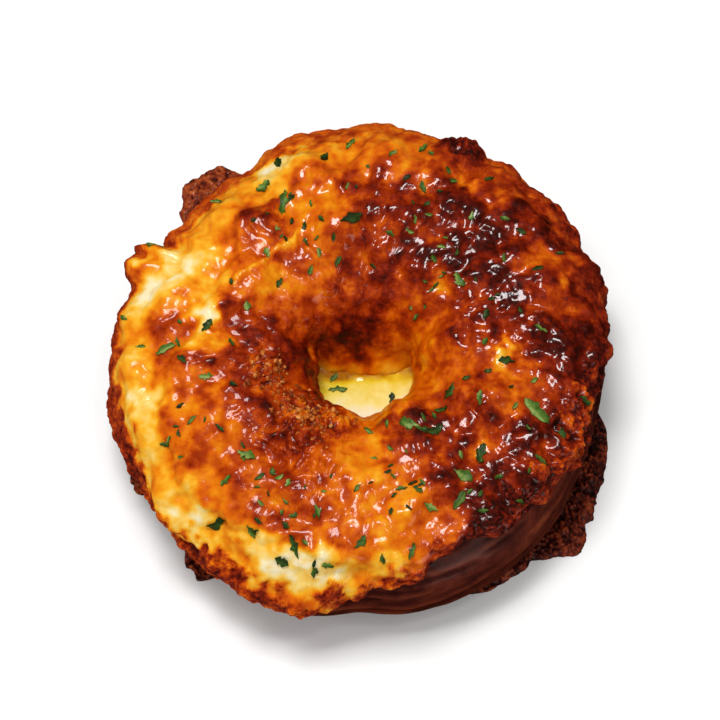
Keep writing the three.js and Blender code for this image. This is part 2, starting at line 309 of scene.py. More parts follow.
# %% Patterns as nodes
NOISE_ROUGHNESS = 0.6


class Patterns:
    """A material, and short ways to add nodes that give a number: attributes, noise and sums of them."""

    def __init__(self, name):
        """Starts a material with the one Principled shader that Blender gives it."""
        self.material = bpy.data.materials.new(name)
        self.material.use_nodes = True
        self.nodes = self.material.node_tree.nodes

    def link(self, source, target):
        """Joins an output socket to an input socket."""
        self.material.node_tree.links.new(source, target)

    def attribute(self, name):
        """The piece's own number of that name, at each point."""
        node = self.nodes.new("ShaderNodeAttribute")
        node.attribute_name = name
        return node.outputs["Fac"]

    def noise(self, size, detail=3):
        """Noise from 0 to 1 in Object coordinates, with blotches of about that size in millimetres."""
        node = self.nodes.new("ShaderNodeTexNoise")
        node.inputs["Scale"].default_value = MM_PER_METRE / size
        node.inputs["Detail"].default_value = detail
        node.inputs["Roughness"].default_value = NOISE_ROUGHNESS
        self.link(self.nodes.new("ShaderNodeTexCoord").outputs["Object"], node.inputs["Vector"])
        return node.outputs["Fac"]

    def spread(self, socket, low, high):
        """A number from 0 to 1 stretched to lie between low and high."""
        node = self.nodes.new("ShaderNodeMapRange")
        node.inputs["To Min"].default_value = low
        node.inputs["To Max"].default_value = high
        self.link(socket, node.inputs["Value"])
        return node.outputs["Result"]

    def mottle(self, size, amount, detail=3):
        """Noise of that size, up to the amount to both sides of 0."""
        return self.spread(self.noise(size, detail), -amount, amount)

    def math(self, operation, first, second):
        """Two sockets put together by an operation such as ADD or MULTIPLY."""
        node = self.nodes.new("ShaderNodeMath")
        node.operation = operation
        self.link(first, node.inputs[0])
        self.link(second, node.inputs[1])
        return node.outputs["Value"]


print("noise in the finishes has a roughness of", NOISE_ROUGHNESS)

# %% [markdown]
# ## A finish from a ramp
# Every finish is a Principled shader whose colour comes from a ramp, and patterns drive the ramp. A ramp
# holds the colours in order of baking, so one number tells the whole story of a place. A mix of several
# materials could do it, but then each border between them would have to be made soft.

# %% Build a finish from a ramp
FOOD_IOR = 1.45


def linear(colour):
    """A colour of 0 to 255 as it is on a screen, turned into the linear numbers that a shader takes."""
    share = np.array(colour) / 255
    return (*np.where(share < 0.04045, share / 12.92, ((share + 0.055) / 1.055) ** 2.4), 1)


class Finish(Patterns):
    """A material with one Principled shader, and short ways to feed it."""

    def __init__(self, name, **settings):
        """Sets sockets of the shader. A setting has the socket's name, with _ for each space."""
        super().__init__(name)
        self.shader = self.nodes["Principled BSDF"]
        for socket, value in settings.items():
            self.shader.inputs[socket.replace("_", " ")].default_value = value

    def feed(self, source, name):
        """Joins an output socket to the shader's input of that name."""
        self.link(source, self.shader.inputs[name])

    def colours(self, stops, *drivers):
        """Base colour from a ramp of (position, colour) stops, driven by the sum of the drivers."""
        ramp = self.nodes.new("ShaderNodeValToRGB")
        while len(ramp.color_ramp.elements) < len(stops):
            ramp.color_ramp.elements.new(0.5)
        for element, (position, colour) in zip(ramp.color_ramp.elements, stops):
            element.position = position
            element.color = linear(colour)
        total = drivers[0]
        for driver in drivers[1:]:
            total = self.math("ADD", total, driver)
        self.link(total, ramp.inputs["Fac"])
        self.feed(ramp.outputs["Color"], "Base Color")

    def bump(self, height, depth):
        """Fine relief of a depth in millimetres, without moving the mesh."""
        node = self.nodes.new("ShaderNodeBump")
        node.inputs["Distance"].default_value = depth / MM_PER_METRE
        self.link(height, node.inputs["Height"])
        self.feed(node.outputs["Normal"], "Normal")


print("a middle grey of the screen is", round(linear((128, 128, 128))[0], 3), "to a shader")

# %% [markdown]
# ## Bread
# The bread shows in a band under the cheese, which is widest at the front right. Its skin baked dark and
# shiny and is drawn out in streaks along the ring. It could be a torus with a stretched texture. Here it is
# the section carried round the ring, with shallow streaks in the mesh itself: noise that is long round the
# ring and short across it.

# %% Bread ring
STREAK_LENGTH = 14
STREAK_WIDTH = 1.3
STREAK_DEPTH = 0.35
BREAD_SINK = 0.1  # how far the skin lies inside the solid's, to leave room for the streaks
BREAD_COLUMN = 0.9  # degrees of bearing
BREAD_ROW = 3.6  # degrees of lean
BASE_LEANS = (115, 140)  # from the rounded side to the flat base


def streaks(bearing, lean):
    """Noise in a space of a circle, for the bearing, and a height, for the lean: long streaks on the ring."""
    turn = np.radians(bearing)
    along = BREAD_WIDTH / 2 / STREAK_LENGTH
    across = np.radians(lean) * CROWN_RISE / STREAK_WIDTH
    return layered(np.stack([along * np.cos(turn), along * np.sin(turn), across], -1), 1.0, salt=3)


bread_bearing, bread_lean = np.meshgrid(np.arange(0, 360, BREAD_COLUMN), -np.arange(0, 360, BREAD_ROW))
bread_lean = wrapped(bread_lean)
bread_streaks = streaks(bread_bearing, bread_lean)
round_side = 1 - smooth_step(np.abs(bread_lean), *BASE_LEANS)
bread_points = over_bread(bread_bearing, bread_lean, STREAK_DEPTH * bread_streaks * round_side - BREAD_SINK)
print("bread grid:", bread_points.shape[:2])

# %% [markdown]
# ## Finish of the bread
# The crust is a dark red brown with a satin sheen. Its raised streaks are lighter, partly its own colour and
# partly painted sheen. Just under the edge of the cheese it is darker and has less sheen. A painted mask
# could say where. Here the band is worked out from how far each point lies below the edge, so it follows the
# cheese all round.

# %% Bread finish
BREAD_COLOURS = [
    (0.0, (28, 5, 2)), (0.3, (66, 14, 5)), (0.5, (98, 32, 12)), (0.7, (130, 54, 22)), (1.0, (170, 96, 52)),
]
# bearing, and the lean at which the cheese on the bread ends
RIM_LEAN = [
    (8, 68), (22, 88), (60, 92), (100, 94), (146, 84), (167, 68), (194, 60), (210, 64), (224, 80),
    (241, 92), (258, 90), (268, 74), (275, 60), (283, 58), (289, 47), (296, 45), (306, 50), (314, 45),
    (326, 49), (340, 55), (351, 57),
]
BAND_BELOW = 4  # degrees of lean from the cheese's edge to the middle of the darker band
BAND_SPREAD = 7
BAND_DARKNESS = 0.14
BAND_DULLING = 0.8
BREAD_TONE = 0.48
# the raised streaks are lighter: partly the crust's own colour, partly painted sheen
STREAK_TONE_AND_SHEEN = 0.28
BREAD_SHEEN = 0.55
BREAD_MOTTLE = 0.22

below_cheese = bread_lean - round_ring(RIM_LEAN, bread_bearing)
edge_band = np.exp(-((below_cheese - BAND_BELOW) / BAND_SPREAD) ** 2)

bread_finish = Finish(
    "streaked_bread", Roughness=0.4, IOR=FOOD_IOR, Specular_IOR_Level=0.1, Coat_Roughness=0.25,
)
bread_mottle = bread_finish.mottle(size=2.5, amount=BREAD_MOTTLE)
bread_finish.colours(BREAD_COLOURS, bread_finish.attribute("streak"), bread_mottle)
bread_finish.feed(bread_finish.attribute("sheen"), "Coat Weight")
bread_finish.bump(bread_finish.noise(size=0.8), depth=0.25)

make_piece(
    "bread", bread_points, grid_faces(*bread_points.shape[:2]), bread_finish.material, "bread",
    stands_for=["bread_ring"],
    # streak: lighter raised streaks, partly painted sheen, and a darker band under the cheese's edge
    streak=BREAD_TONE + STREAK_TONE_AND_SHEEN * bread_streaks - BAND_DARKNESS * edge_band,
    sheen=BREAD_SHEEN * (1 - BAND_DULLING * edge_band),
)

# %% [markdown]
# ## Sizes of the cheese
# The blanket is thick on the crown and thin at its edges. On the left and the front a browned dome steps
# down to pale cheese that stayed soft, and a browned bead runs along the edge outside it. Mounds, hollows and
# lumps lie on top, and cheese that ran down the far wall of the hole closes part of it. It could be sculpted
# with brushes, but these are the CAD part's own sizes, so the finer surface keeps the form of the solid.

# %% Sizes of the cheese blanket
GAP = 0.3
CHEESE_THICK = 3.3
CHEESE_EDGE = 1.2
EDGE_TAPER = 0.1
CHEESE_LEAST = 0.8
HOLE_EDGE_LEAN = -94
# bearing, and the lean at which the browned dome ends
DOME_EDGE_LEAN = [
    (80, 62), (96, 20), (114, 21), (130, 22), (153, 4), (176, 2), (190, 21), (210, 38), (220, 46),
    (237, 41), (255, 34), (268, 42), (281, 43), (292, 58),
]
DOME_STEP = 1.5
DOME_STEP_SPREAD = 7
RIM_BEAD_RISE = 1.3
RIM_BEAD_INSET = 16
RIM_BEAD_FALL = 3
# bearing, lean, half length round the ring, half width across it, rise
MOUNDS = [
    (156, 58, 4.8, 6, 3.4), (64, 56, 5, 5, 1.2), (357, 56, 4, 5, 1.6), (263, 36, 10, 4, 1.4),
    (296, -38, 7, 6, 1.8), (281, 9, 8, 6, 1.2), (332, -2, 9, 8, 1.2), (209, -24, 7, 7, 1.3),
    (215, 16, 8, 6, 1.0), (94, -15, 10, 7, 1.2), (62, 22, 9, 7, 1.0), (24, 27, 10, 8, 1.1),
    (132, 25, 7, 6, 1.3), (112, 9, 7, 5, -1.2), (36, -40, 7, 7, -0.9), (318, 8, 8, 5, -1.2),
    (150, -31, 8, 7, -0.8),
]
MOUND_FALL = 1.2
MOUND_BLUNTNESS = 1.5
# length of a wave across the plan, its direction, its start in degrees, and its rise
LUMPS = [
    (19, 20, 40, 0.4), (15, 95, 160, 0.35), (12, 150, 300, 0.3), (10, 60, 75, 0.25), (9, 125, 210, 0.25),
]
POOL_LEVEL = 11.6
FLOW_EDGE = 1.6
FLOW_SLOPE = 0.35
FLOW_TOP_LEAN = -35
FLOW_FOOT_LEAN = -90
FLOW_BLEND = 2.4
FLOW_MOST = 12
print(len(MOUNDS), "mounds and hollows, and", len(LUMPS), "waves of lumps")

# %% [markdown]
# ## Mounds and lumps
# Melted cheese sets unevenly. Some places stand up as mounds or sink as hollows, and the rest is lumpy. Soft
# brushes could raise them one by one. Here a mound is a bell of the distance from its spot, and the lumps are
# a few waves that cross each other, as in the CAD part.

# %% Mounds and lumps at any place
def offsets(bearing, lean, spot_bearing, spot_lean):
    """How far a place lies from a spot, in millimetres round the ring and across it."""
    middle, half = section(np.array(float(spot_bearing)))
    turn = np.radians(wrapped(bearing - spot_bearing))
    return turn * (middle + half * np.sin(np.radians(spot_lean))), np.radians(lean - spot_lean) * CROWN_RISE


def spot_distance(spot, bearing, lean):
    """The squared distance from a spot, counted in its half lengths and half widths."""
    along, across = offsets(bearing, lean, spot[0], spot[1])
    return (along / spot[2]) ** 2 + (across / spot[3]) ** 2


def mound_share(mound, bearing, lean):
    """1 on a mound's blunt top, falling off as a bell of the distance from it."""
    return np.exp(-MOUND_FALL * spot_distance(mound, bearing, lean) ** MOUND_BLUNTNESS)


def lump_rise(bearing, radius):
    """Waves that cross each other in plan."""
    rise = 0
    for length, direction, start, height in LUMPS:
        along = radius * np.cos(np.radians(bearing - direction))
        rise = rise + height * np.sin(2 * np.pi * along / length + np.radians(start))
    return rise


print("lumps on the crown, at the right:", lump_rise(0.0, section(0.0)[0]).round(2), "mm")

# %% [markdown]
# ## Thickness of the cheese
# The parts of the crust are added up: the sheet with its step, the bead, the lumps and the mounds. Where the
# cheese ran down the far wall, the thicker of the two counts, and a rounded maximum hides the join. Each part
# could be a mesh of its own, but joining them would leave creases.

# %% The cheese's thickness at any place
def flow_thickness(bearing, lean):
    """Thickness out to the sloping plane of the cheese that ran down the far wall of the hole."""
    radius, height, normal_out, normal_up = skin(bearing, lean)
    far = np.sin(np.radians(bearing))
    behind = radius * far - FLOW_EDGE - (height - POOL_LEVEL) * FLOW_SLOPE
    closing = normal_up * FLOW_SLOPE - normal_out * far
    share = smooth_step(-lean, -FLOW_TOP_LEAN, -FLOW_FOOT_LEAN)
    flows = (behind > 0) & (share > 0)
    return np.clip(np.where(flows, share * behind / np.where(flows, closing, 1), 0), 0, FLOW_MOST)


def pale_share(lean, dome_edge):
    """0 on the dome and 1 on the pale cheese outside its edge."""
    return smooth_step(lean, dome_edge - DOME_STEP_SPREAD / 2, dome_edge + DOME_STEP_SPREAD / 2)


def cheese_thickness(bearing, lean, rim, dome_edge):
    """Sheet, step, bead, lumps and mounds added up, and rounded into what ran down the wall."""
    share = (lean - HOLE_EDGE_LEAN) / (rim - HOLE_EDGE_LEAN)
    full = smooth_step(np.minimum(share, 1 - share), 0, EDGE_TAPER)
    pale = pale_share(lean, dome_edge)
    bead = pale * np.exp(-RIM_BEAD_FALL * ((rim - RIM_BEAD_INSET - lean) / RIM_BEAD_INSET) ** 2)
    sheet = CHEESE_THICK - DOME_STEP * pale + RIM_BEAD_RISE * bead
    lumps = lump_rise(bearing, skin(bearing, lean)[0])
    mounds = sum(mound[4] * mound_share(mound, bearing, lean) for mound in MOUNDS)
    own = mix(CHEESE_EDGE, sheet + lumps, full) + mounds
    flow = flow_thickness(bearing, lean)
    blend = FLOW_BLEND * smooth_step(flow, 0, own)
    return np.maximum(CHEESE_LEAST, (own + flow + np.hypot(own - flow, blend)) / 2)


ends = np.array([0.0, 180.0])
crown = cheese_thickness(ends, np.zeros(2), round_ring(RIM_LEAN, ends), round_ring(DOME_EDGE_LEAN, ends))
print("cheese on the crown, right and left:", crown.round(2), "mm")

# %% [markdown]
# ## How toasted each place is
# Heat browned the cheese unevenly. One number from 0, raw cream, to 1, charred, says how far each place got.
# It starts from a level that changes round the ring and gives way to other levels on the pale band, in the
# hole and along the rim. On the far wall of the hole that level is darker, partly as painted shade. It could
# be painted on the mesh as a weight, but a few stops of a bearing and a level can be read and changed.

# %% Levels of toasting
# bearing, and toast of the dome
DOME_TOAST = [
    (0, 0.68), (40, 0.76), (75, 0.68), (96, 0.61), (110, 0.53), (130, 0.54), (160, 0.52), (200, 0.54),
    (240, 0.63), (270, 0.58), (290, 0.56), (315, 0.66), (340, 0.64),
]
PALE_TOAST = 0.41
# bearing, and how much of the pale band is there
PALE_BEARINGS = [(62, 0), (98, 1), (276, 1), (292, 0)]
# bearing, and the lean at which the rim starts to brown
RIM_BROWNING = [
    (0, 46), (54, 48), (64, 66), (74, 48), (98, 46), (112, 58), (128, 52), (145, 54), (160, 60), (200, 58),
    (216, 64), (226, 69), (236, 62), (248, 66), (260, 67), (270, 56), (282, 46), (300, 30), (320, 34),
    (345, 40),
]
# bearing, and toast of the fried rim
RIM_TOAST = [
    (0, 0.8), (60, 0.62), (85, 0.54), (100, 0.56), (130, 0.6), (165, 0.68), (205, 0.74), (222, 0.74),
    (240, 0.76), (258, 0.74), (270, 0.72), (282, 0.72), (300, 0.95), (330, 0.97), (345, 0.94),
]
# bearing, and toast of the wall of the hole; on the far wall it is partly painted shade
HOLE_TOAST_AND_SHADE = [
    (0, 0.5), (30, 0.5), (45, 0.62), (60, 0.8), (90, 0.86), (116, 0.82), (140, 0.76), (165, 0.76),
    (190, 0.74), (230, 0.68), (256, 0.6), (275, 0.45), (310, 0.5), (340, 0.47),
]
toasts = [toast for bearing, toast in DOME_TOAST + RIM_TOAST + HOLE_TOAST_AND_SHADE]
print("levels of toasting from", min(toasts), "to", max(toasts))

# %% [markdown]
# ## Patches
# On the real crust many places are lighter or darker than the ground round them. Each is a soft-edged oval
# with a level of its own, and a later one covers an earlier one. A painted texture could hold them, but a
# list needs no image and has no seam.

# %% Patches of toasting
# bearing, lean, half length round the ring, half width across it, toast
PATCHES = [
    # orange and rust
    (142, -28, 14, 10, 0.46), (140, -16, 7, 4, 0.43), (148, 2, 7, 5, 0.52), (229, 24, 9, 8, 0.46),
    (249, 22, 9, 6, 0.6), (40, -46, 6, 6, 0.46), (128, -10, 8, 7, 0.58), (230, 8, 8, 6, 0.58),
    (270, 28, 8, 5, 0.56), (50, -36, 8, 6, 0.63), (13, -44, 6, 5, 0.44), (84, 34, 9, 7, 0.51),
    (72, 36, 8, 8, 0.53), (50, 36, 5, 5, 0.5), (21, 36, 8, 6, 0.56), (22, 6, 4, 5, 0.64),
    (8, 12, 4, 4, 0.62), (212, 3, 8, 7, 0.5), (187, -6, 6, 4, 0.42), (272, -22, 7, 9, 0.46),
    (317, 3, 6, 3, 0.42), (345, 15, 5, 6, 0.47), (334, 6, 6, 5, 0.54), (186, 10, 5, 3, 0.43),
    (203, -42, 4, 3, 0.5),
    # mostly brown, and some nearly black
    (78, -50, 12, 4, 0.74), (84, -14, 12, 8, 0.69), (50, -8, 12, 9, 0.79), (168, -48, 8, 6, 0.7),
    (46, 15, 9, 5, 0.83), (36, 30, 6, 4, 0.8), (12, -6, 6, 5, 0.77), (8, -30, 7, 5, 0.76),
    (342, 38, 8, 6, 0.65), (357, 32, 8, 9, 0.8), (325, -52, 14, 5, 0.5), (305, 34, 13, 9, 0.92),
    (325, 24, 8, 6, 0.74), (321, -10, 6, 4, 0.7), (295, -30, 6, 4, 0.78), (302, 4, 6, 6, 0.68),
    (250, -45, 5, 4, 0.76), (228, -28, 8, 6, 0.72), (238, -46, 7, 6, 0.7), (204, -22, 8, 7, 0.66),
    (186, -48, 6, 6, 0.7), (192, 3, 3, 3, 0.72), (218, 36, 4, 6, 0.6), (167, -7, 5, 5, 0.64),
    (127, 16, 4, 5, 0.68), (110, 18, 7, 2.5, 0.62), (65, 58, 4.2, 6.5, 0.95), (188, 23, 5, 4, 0.56),
    (250, 2, 7, 6, 0.6),
    # mostly yellow and cream
    (111, 1, 6, 5, 0.38), (109, 37, 7, 5, 0.25), (121, 39, 3, 4, 0.26), (152, 22, 5, 4, 0.28),
    (158, 31, 4, 5, 0.16), (174, 8, 4, 4, 0.16), (168, 34, 4, 5, 0.22), (185, 42, 5, 4, 0.32),
    (198, 42, 5, 4, 0.16), (209, 46, 5, 5, 0.2), (227, 55, 8, 4, 0.12), (248, 41, 6, 3, 0.21),
    (258, 47, 8, 4, 0.07), (286, -3, 3, 4, 0.3), (277, 15, 5, 3, 0.38), (275, 42, 6, 4, 0.32),
    (350, -8, 5, 1.5, 0.3), (135, 36, 5, 4, 0.4),
    # spots that lie over the ones above
    (142, -50, 7, 4, 0.56), (42, -50, 7, 5, 0.62), (42, -30, 8, 5, 0.66), (20, -10, 6, 6, 0.68),
    (40, -12, 6, 5, 0.84), (80, -30, 8, 5, 0.63), (100, 46, 6, 4, 0.36), (120, 46, 6, 4, 0.38),
    (180, -30, 6, 5, 0.7), (258, 27, 8, 5, 0.57), (342, -30, 7, 5, 0.57), (163, 13, 6, 5, 0.27),
    (220, 45, 5, 4, 0.38), (114, 43, 6, 2.5, 0.12), (168, 38, 4, 4, 0.12), (175, 4, 3.5, 3, 0.06),
    (103, -11, 5, 4, 0.5), (26, 46, 3, 3, 0.9), (13, 42, 4, 3, 0.9), (356, 41, 5, 4, 0.9),
    (48, 38, 5, 4, 0.62), (22, 45, 4, 2, 0.68), (107, 24, 5, 4, 0.58), (180, 21, 5, 4, 0.6),
    (290, 28, 7, 4, 0.5), (16, -1, 5, 4, 0.85), (256, 64, 5, 2, 0.64), (287, -8, 4, 4, 0.55),
    (257, 48, 9, 4, 0.06),
    # ear of cheese: cream at its root, an orange and a brown ridge, and a cream groove between them
    (160, 44, 8, 3.5, 0.04), (153, 62, 3.4, 6, 0.56), (159.5, 62, 3.6, 6, 0.64), (156, 61, 0.9, 7, 0.25),
]
PATCH_FALL = 0.75
PATCH_BLUNTNESS = 1.8
print(len(PATCHES), "patches of toasting")

# %% [markdown]
# ## Toasting, worked out
# The levels and patches meet in one formula. Masks mixed in the shader could do the same, but here the relief
# needs the toasting too. Places are bent by noise first, so that no patch is a clean oval. The fried rim
# covers the patches beyond its own wandering line, and the foot of the hole's wall stays pale.

# %% Toasting at any place
PATCH_BEND = 2.6  # millimetres by which noise bends the patches
PATCH_BEND_SIZE = 6.0
BEND_LEAST_RADIUS = 6
BROWNING_WANDER = 9  # degrees of lean
BROWNING_WANDER_SIZE = 4.0
FRIED_SPREAD = 4  # degrees of lean to both sides of the line where the rim starts to brown
HOLE_LEANS = (45, 75)  # down the wall of the hole, over which the hole's own level takes over
FOOT_HEIGHT = 2.0  # the cheese in the hole grows paler over this height down to the pool
FAR_FOOT_HEIGHT = 7.0  # and over this height on the far wall
FAR_WALL = (-2, 1)  # millimetres beyond the axis, over which the far wall's height takes over
FOOT_LEANS = (45, 60)
FOOT_FALL = 1.6
FOOT_TOAST = 0.36


def bent(bearing, lean, points, size, reach):
    """A place moved by noise of a size, by up to a reach in millimetres both round and across the ring."""
    radius = np.maximum(BEND_LEAST_RADIUS, np.hypot(points[..., 0], points[..., 1]))
    round_move = reach * layered(points, size, salt=21)
    cross_move = reach * layered(points, size, salt=43)
    return bearing + np.degrees(round_move / radius), lean + np.degrees(cross_move / CROWN_RISE)


def near_pool(points):
    """1 at the level of the pool, falling to 0 over a height that is larger on the far wall of the hole."""
    tall = mix(FOOT_HEIGHT, FAR_FOOT_HEIGHT, smooth_step(points[..., 1], *FAR_WALL))
    return np.clip(1 - (points[..., 2] - POOL_LEVEL) / tall, 0, 1)


def toasting(bearing, lean, dome_edge, points):
    """The level round the ring, pale band and hole wall, then each patch by a bell, then the fried rim."""
    bearing, lean = bent(bearing, lean, points, PATCH_BEND_SIZE, PATCH_BEND)
    pale = pale_share(lean, dome_edge) * round_ring(PALE_BEARINGS, bearing)
    toast = mix(round_ring(DOME_TOAST, bearing), PALE_TOAST, pale)
    # the hole's own level, which on the far wall is partly painted shade
    toast = mix(toast, round_ring(HOLE_TOAST_AND_SHADE, bearing), smooth_step(-lean, *HOLE_LEANS))
    for patch in PATCHES:
        bell = np.exp(-PATCH_FALL * spot_distance(patch, bearing, lean) ** PATCH_BLUNTNESS)
        toast = mix(toast, patch[4], bell)
    wander = BROWNING_WANDER * layered(points, BROWNING_WANDER_SIZE, salt=47, layers=2)
    browning = round_ring(RIM_BROWNING, bearing) + wander
    fried = smooth_step(lean, browning - FRIED_SPREAD, browning + FRIED_SPREAD)
    toast = mix(toast, round_ring(RIM_TOAST, bearing), fried)
    foot = near_pool(points) ** FOOT_FALL * smooth_step(-lean, *FOOT_LEANS)
    return mix(toast, FOOT_TOAST, foot), fried


crown_points = over_bread(ends, np.zeros(2), GAP + crown)
crown_toast = toasting(ends, np.zeros(2), round_ring(DOME_EDGE_LEAN, ends), crown_points)[0]
print("toast on the crown, right and left:", crown_toast.round(2))

# %% [markdown]
# ## Edges and ear
# The edge of the cheese differs from place to place. At the upper left an ear of cheese curls off the rim,
# with a groove in it and a notch behind it. At the front right a craggy bead stands along the edge. A thin
# fried film reaches past the edge at the left and the front right. Each could be a mesh of its own, but the
# real ones are one skin with the crust, so they are changes to it.

# %% Edges and ear of the crust
FILM_THICK = 0.15
FILM_BLEND = (-2, 6)  # degrees of lean past the edge, from the full cheese to the film
EAR_SPOT = (156, 58, 4.8, 6)
EAR_SWELL = 0.8
EAR_GROOVE = (156, 60, 1.1, 8)
EAR_GROOVE_DEPTH = 1.5
EAR_NOTCH = (150.5, 66, 2, 9)
EAR_NOTCH_DEPTH = 3.2
# bearing, and how far a craggy bead along the edge at the front right stands up
FRONT_BEAD = [(0, 0.6), (20, 0), (268, 0), (285, 0.7), (300, 1.0), (325, 1.3), (345, 1.2)]
FRONT_BEAD_INSET = 6  # degrees of lean from the edge in to the bead, and the bead's own spread


def crust_thickness(bearing, lean, rim, dome_edge):
    """The blanket with its bead, thinned to a film past the rim, then cut by the ear's groove and notch."""
    bead = np.exp(-((rim - FRONT_BEAD_INSET - lean) / FRONT_BEAD_INSET) ** 2)
    thick = cheese_thickness(bearing, lean, rim, dome_edge) + round_ring(FRONT_BEAD, bearing) * bead
    thick = mix(thick, FILM_THICK, smooth_step(lean - rim, *FILM_BLEND))
    thick = thick - EAR_GROOVE_DEPTH * mound_share(EAR_GROOVE, bearing, lean)
    return np.maximum(FILM_THICK, thick - EAR_NOTCH_DEPTH * mound_share(EAR_NOTCH, bearing, lean))


def swollen_ear(bearing, lean):
    """Bearings spread out below the middle of the ear, so that it hangs blunt."""
    below = np.clip(wrapped(bearing - EAR_SPOT[0]), 0, None)
    return bearing + EAR_SWELL * below * mound_share(EAR_SPOT, bearing, lean)


rim_leans = [lean for bearing, lean in RIM_LEAN]
print("the cheese's edge lies at leans from", min(rim_leans), "to", max(rim_leans))

# %% [markdown]
# ## Strands
# Melted cheese drew out into strands: thin pale ones on the crown, and thick brown ones over the dark edge at
# the front right. Each could be a tube along a curve. Real strands sank into the crust, so here each is a
# ridge in it: a bell of the distance from a line between two places, with a level of toasting of its own.

# %% Strands of melted cheese
# from bearing and lean, to bearing and lean, half width, rise, toast
STRANDS = [
    # thin ones on the crown
    (158, -6, 142, -10, 0.55, 0.8, 0.34), (142, -10, 127, -11, 0.55, 0.8, 0.34),
    (127, -11, 120, -9, 0.55, 0.8, 0.32), (120, -19, 113, -35, 0.55, 0.7, 0.42),
    # thick ones over the dark edge at the front right
    (331, 32, 330, 40, 1.2, 0.8, 0.82), (328, 37, 325, 44, 1.2, 0.9, 0.78),
    (332, 47, 326, 47, 1.5, 1.0, 0.78), (335, 45, 331, 52, 1.2, 0.9, 0.82),
    (337, 53, 334, 58, 1.1, 0.8, 0.8), (331, 53, 325, 48, 1.0, 0.7, 0.8),
    (331, 22, 322, 36, 1.0, 0.6, 0.78), (322, 36, 318, 53, 1.2, 1.0, 0.76),
    (330, 43, 330, 57, 1.2, 0.9, 0.78), (338, 66, 330, 59, 1.4, 1.1, 0.76),
    (330, 59, 324, 53, 1.4, 1.1, 0.78), (324, 53, 317, 54, 1.3, 1.0, 0.78),
    (320, 33, 316, 36, 1.2, 0.7, 0.84), (319, 40, 317, 47, 1.2, 0.8, 0.82),
    (328, 25, 322, 32, 1.2, 0.6, 0.8),
]
STRAND_BEND = 0.8
STRAND_BEND_SIZE = 4.0


def strand_share(strand, bearing, lean):
    """1 along the line between a strand's two ends, falling off as a bell of the distance in half widths."""
    along, across = offsets(bearing, lean, strand[0], strand[1])
    end_along, end_across = offsets(np.array(strand[2]), np.array(strand[3]), strand[0], strand[1])
    length = np.hypot(end_along, end_across)
    reached = np.clip((along * end_along + across * end_across) / length ** 2, 0, 1)
    distance = np.hypot(along - reached * end_along, across - reached * end_across)
    return np.exp(-(distance / strand[4]) ** 2)


def with_strands(thick, toast, bearing, lean):
    """Thickness and toast with each strand laid on in turn."""
    for strand in STRANDS:
        share = strand_share(strand, bearing, lean)
        thick = thick + strand[5] * share
        toast = mix(toast, strand[6], share)
    return thick, toast


print(len(STRANDS), "strands")

# %% [markdown]
# ## Relief of the crust
# Pale cheese stayed soft and set in low curds. Browned cheese boiled: it set in blisters, with smaller ones
# between them and a grainy skin. The fried rim, and a few spots where the crust broke up, are rough with
# crisp grains. So the relief changes with the toasting. A bump map would only shade it. Here the mesh itself
# carries it, so that the edge of the crust is rough too.

# %% Folds and grains
WRINKLE_SPOT = (244, -24, 12, 8)
WRINKLE_LENGTH = 2.6
WRINKLE_RISE = 0.8
WRINKLE_BEND = 0.9
WRINKLE_BEND_SIZE = 5.0
ROLL_RISE = 0.5
ROLL_SIZE = 7.0
STIR_REACH = 0.8
STIR_SIZE = 3.0
# size of the grains in millimetres, and their rise, for soft, browned and fried cheese
CURDS = [(5.0, 0.9), (2.4, 0.6), (1.3, 0.25)]
BLISTERS = [(5.6, 1.6), (2.9, 1.0), (1.5, 0.32)]
CRISPS = [(2.4, 1.0), (1.3, 1.1)]
GRAIN_MEAN = 0.6
TOE_REACH = 1.2  # how far the far wall's foot curves out over the pool
TOE_FALL = 3
TOE_WAVE = 0.4
TOE_WAVE_SIZE = 7.0


def wrinkles(bearing, lean, points):
    """Folds that run round the hole: a wave across the ring, bent by noise, inside a bell-shaped spot."""
    bend = WRINKLE_BEND * layered(points, WRINKLE_BEND_SIZE, salt=15)
    wave = np.radians(lean) * CROWN_RISE / WRINKLE_LENGTH + bend
    return WRINKLE_RISE * np.sin(2 * np.pi * wave) * mound_share(WRINKLE_SPOT, bearing, lean)


def heaped(points, kinds, salt):
    """Grains of several sizes added up, each as far as it stands over the mean."""
    return sum(rise * (grains(points, size, salt + k) - GRAIN_MEAN) for k, (size, rise) in enumerate(kinds))


def relief(points, crag, crisp):
    """Rolling lumps everywhere, and curds on soft cheese, blisters on brown and crisps on fried cheese."""
    uneven = stirred(points, STIR_SIZE, STIR_REACH, salt=16)
    rolling = ROLL_RISE * layered(points, ROLL_SIZE, salt=5)
    soft = (1 - crag) * heaped(uneven, CURDS, salt=6)
    browned = crag * heaped(uneven, BLISTERS, salt=11)
    return rolling + soft + browned + crisp * heaped(points, CRISPS, salt=14)


def wall_toe(points):
    """How far the far wall's foot curves out: the cube of how near it is to the pool, made wavy by noise."""
    wave = 1 + TOE_WAVE * layered(points * (1, 1, 0), TOE_WAVE_SIZE, salt=17)
    return TOE_REACH * near_pool(points) ** TOE_FALL * wave


for name, kinds in {"curds": CURDS, "blisters": BLISTERS, "crisps": CRISPS}.items():
    print(name, "of", [size for size, rise in kinds], "mm")

# %% [markdown]
# ## The finished crust at any place
# One function gives the point of the crust at any bearing and lean, and how it looks there: how toasted, how
# craggy, how crisp and how wet. The blanket is built with it, and the herbs and crumbs are laid on it, so
# they sit exactly on the crust. Blender's shrinkwrap modifier could lay them on, but only on a mesh's flat
# faces.

# %% The cheese's surface
DOME_WANDER = 4.0  # degrees of lean by which the edge of the dome wanders
DOME_WANDER_SIZE = 6.0
EDGE_SINK = 0.5  # how far the edge ends inside the bread
LEAST_COVER = 0.2
CRUMB_SPOTS = [(240, -38, 8, 5), (203, -34, 6, 4), (258, -47, 4, 2), (338, 45, 10, 5), (64, 55, 4, 5)]
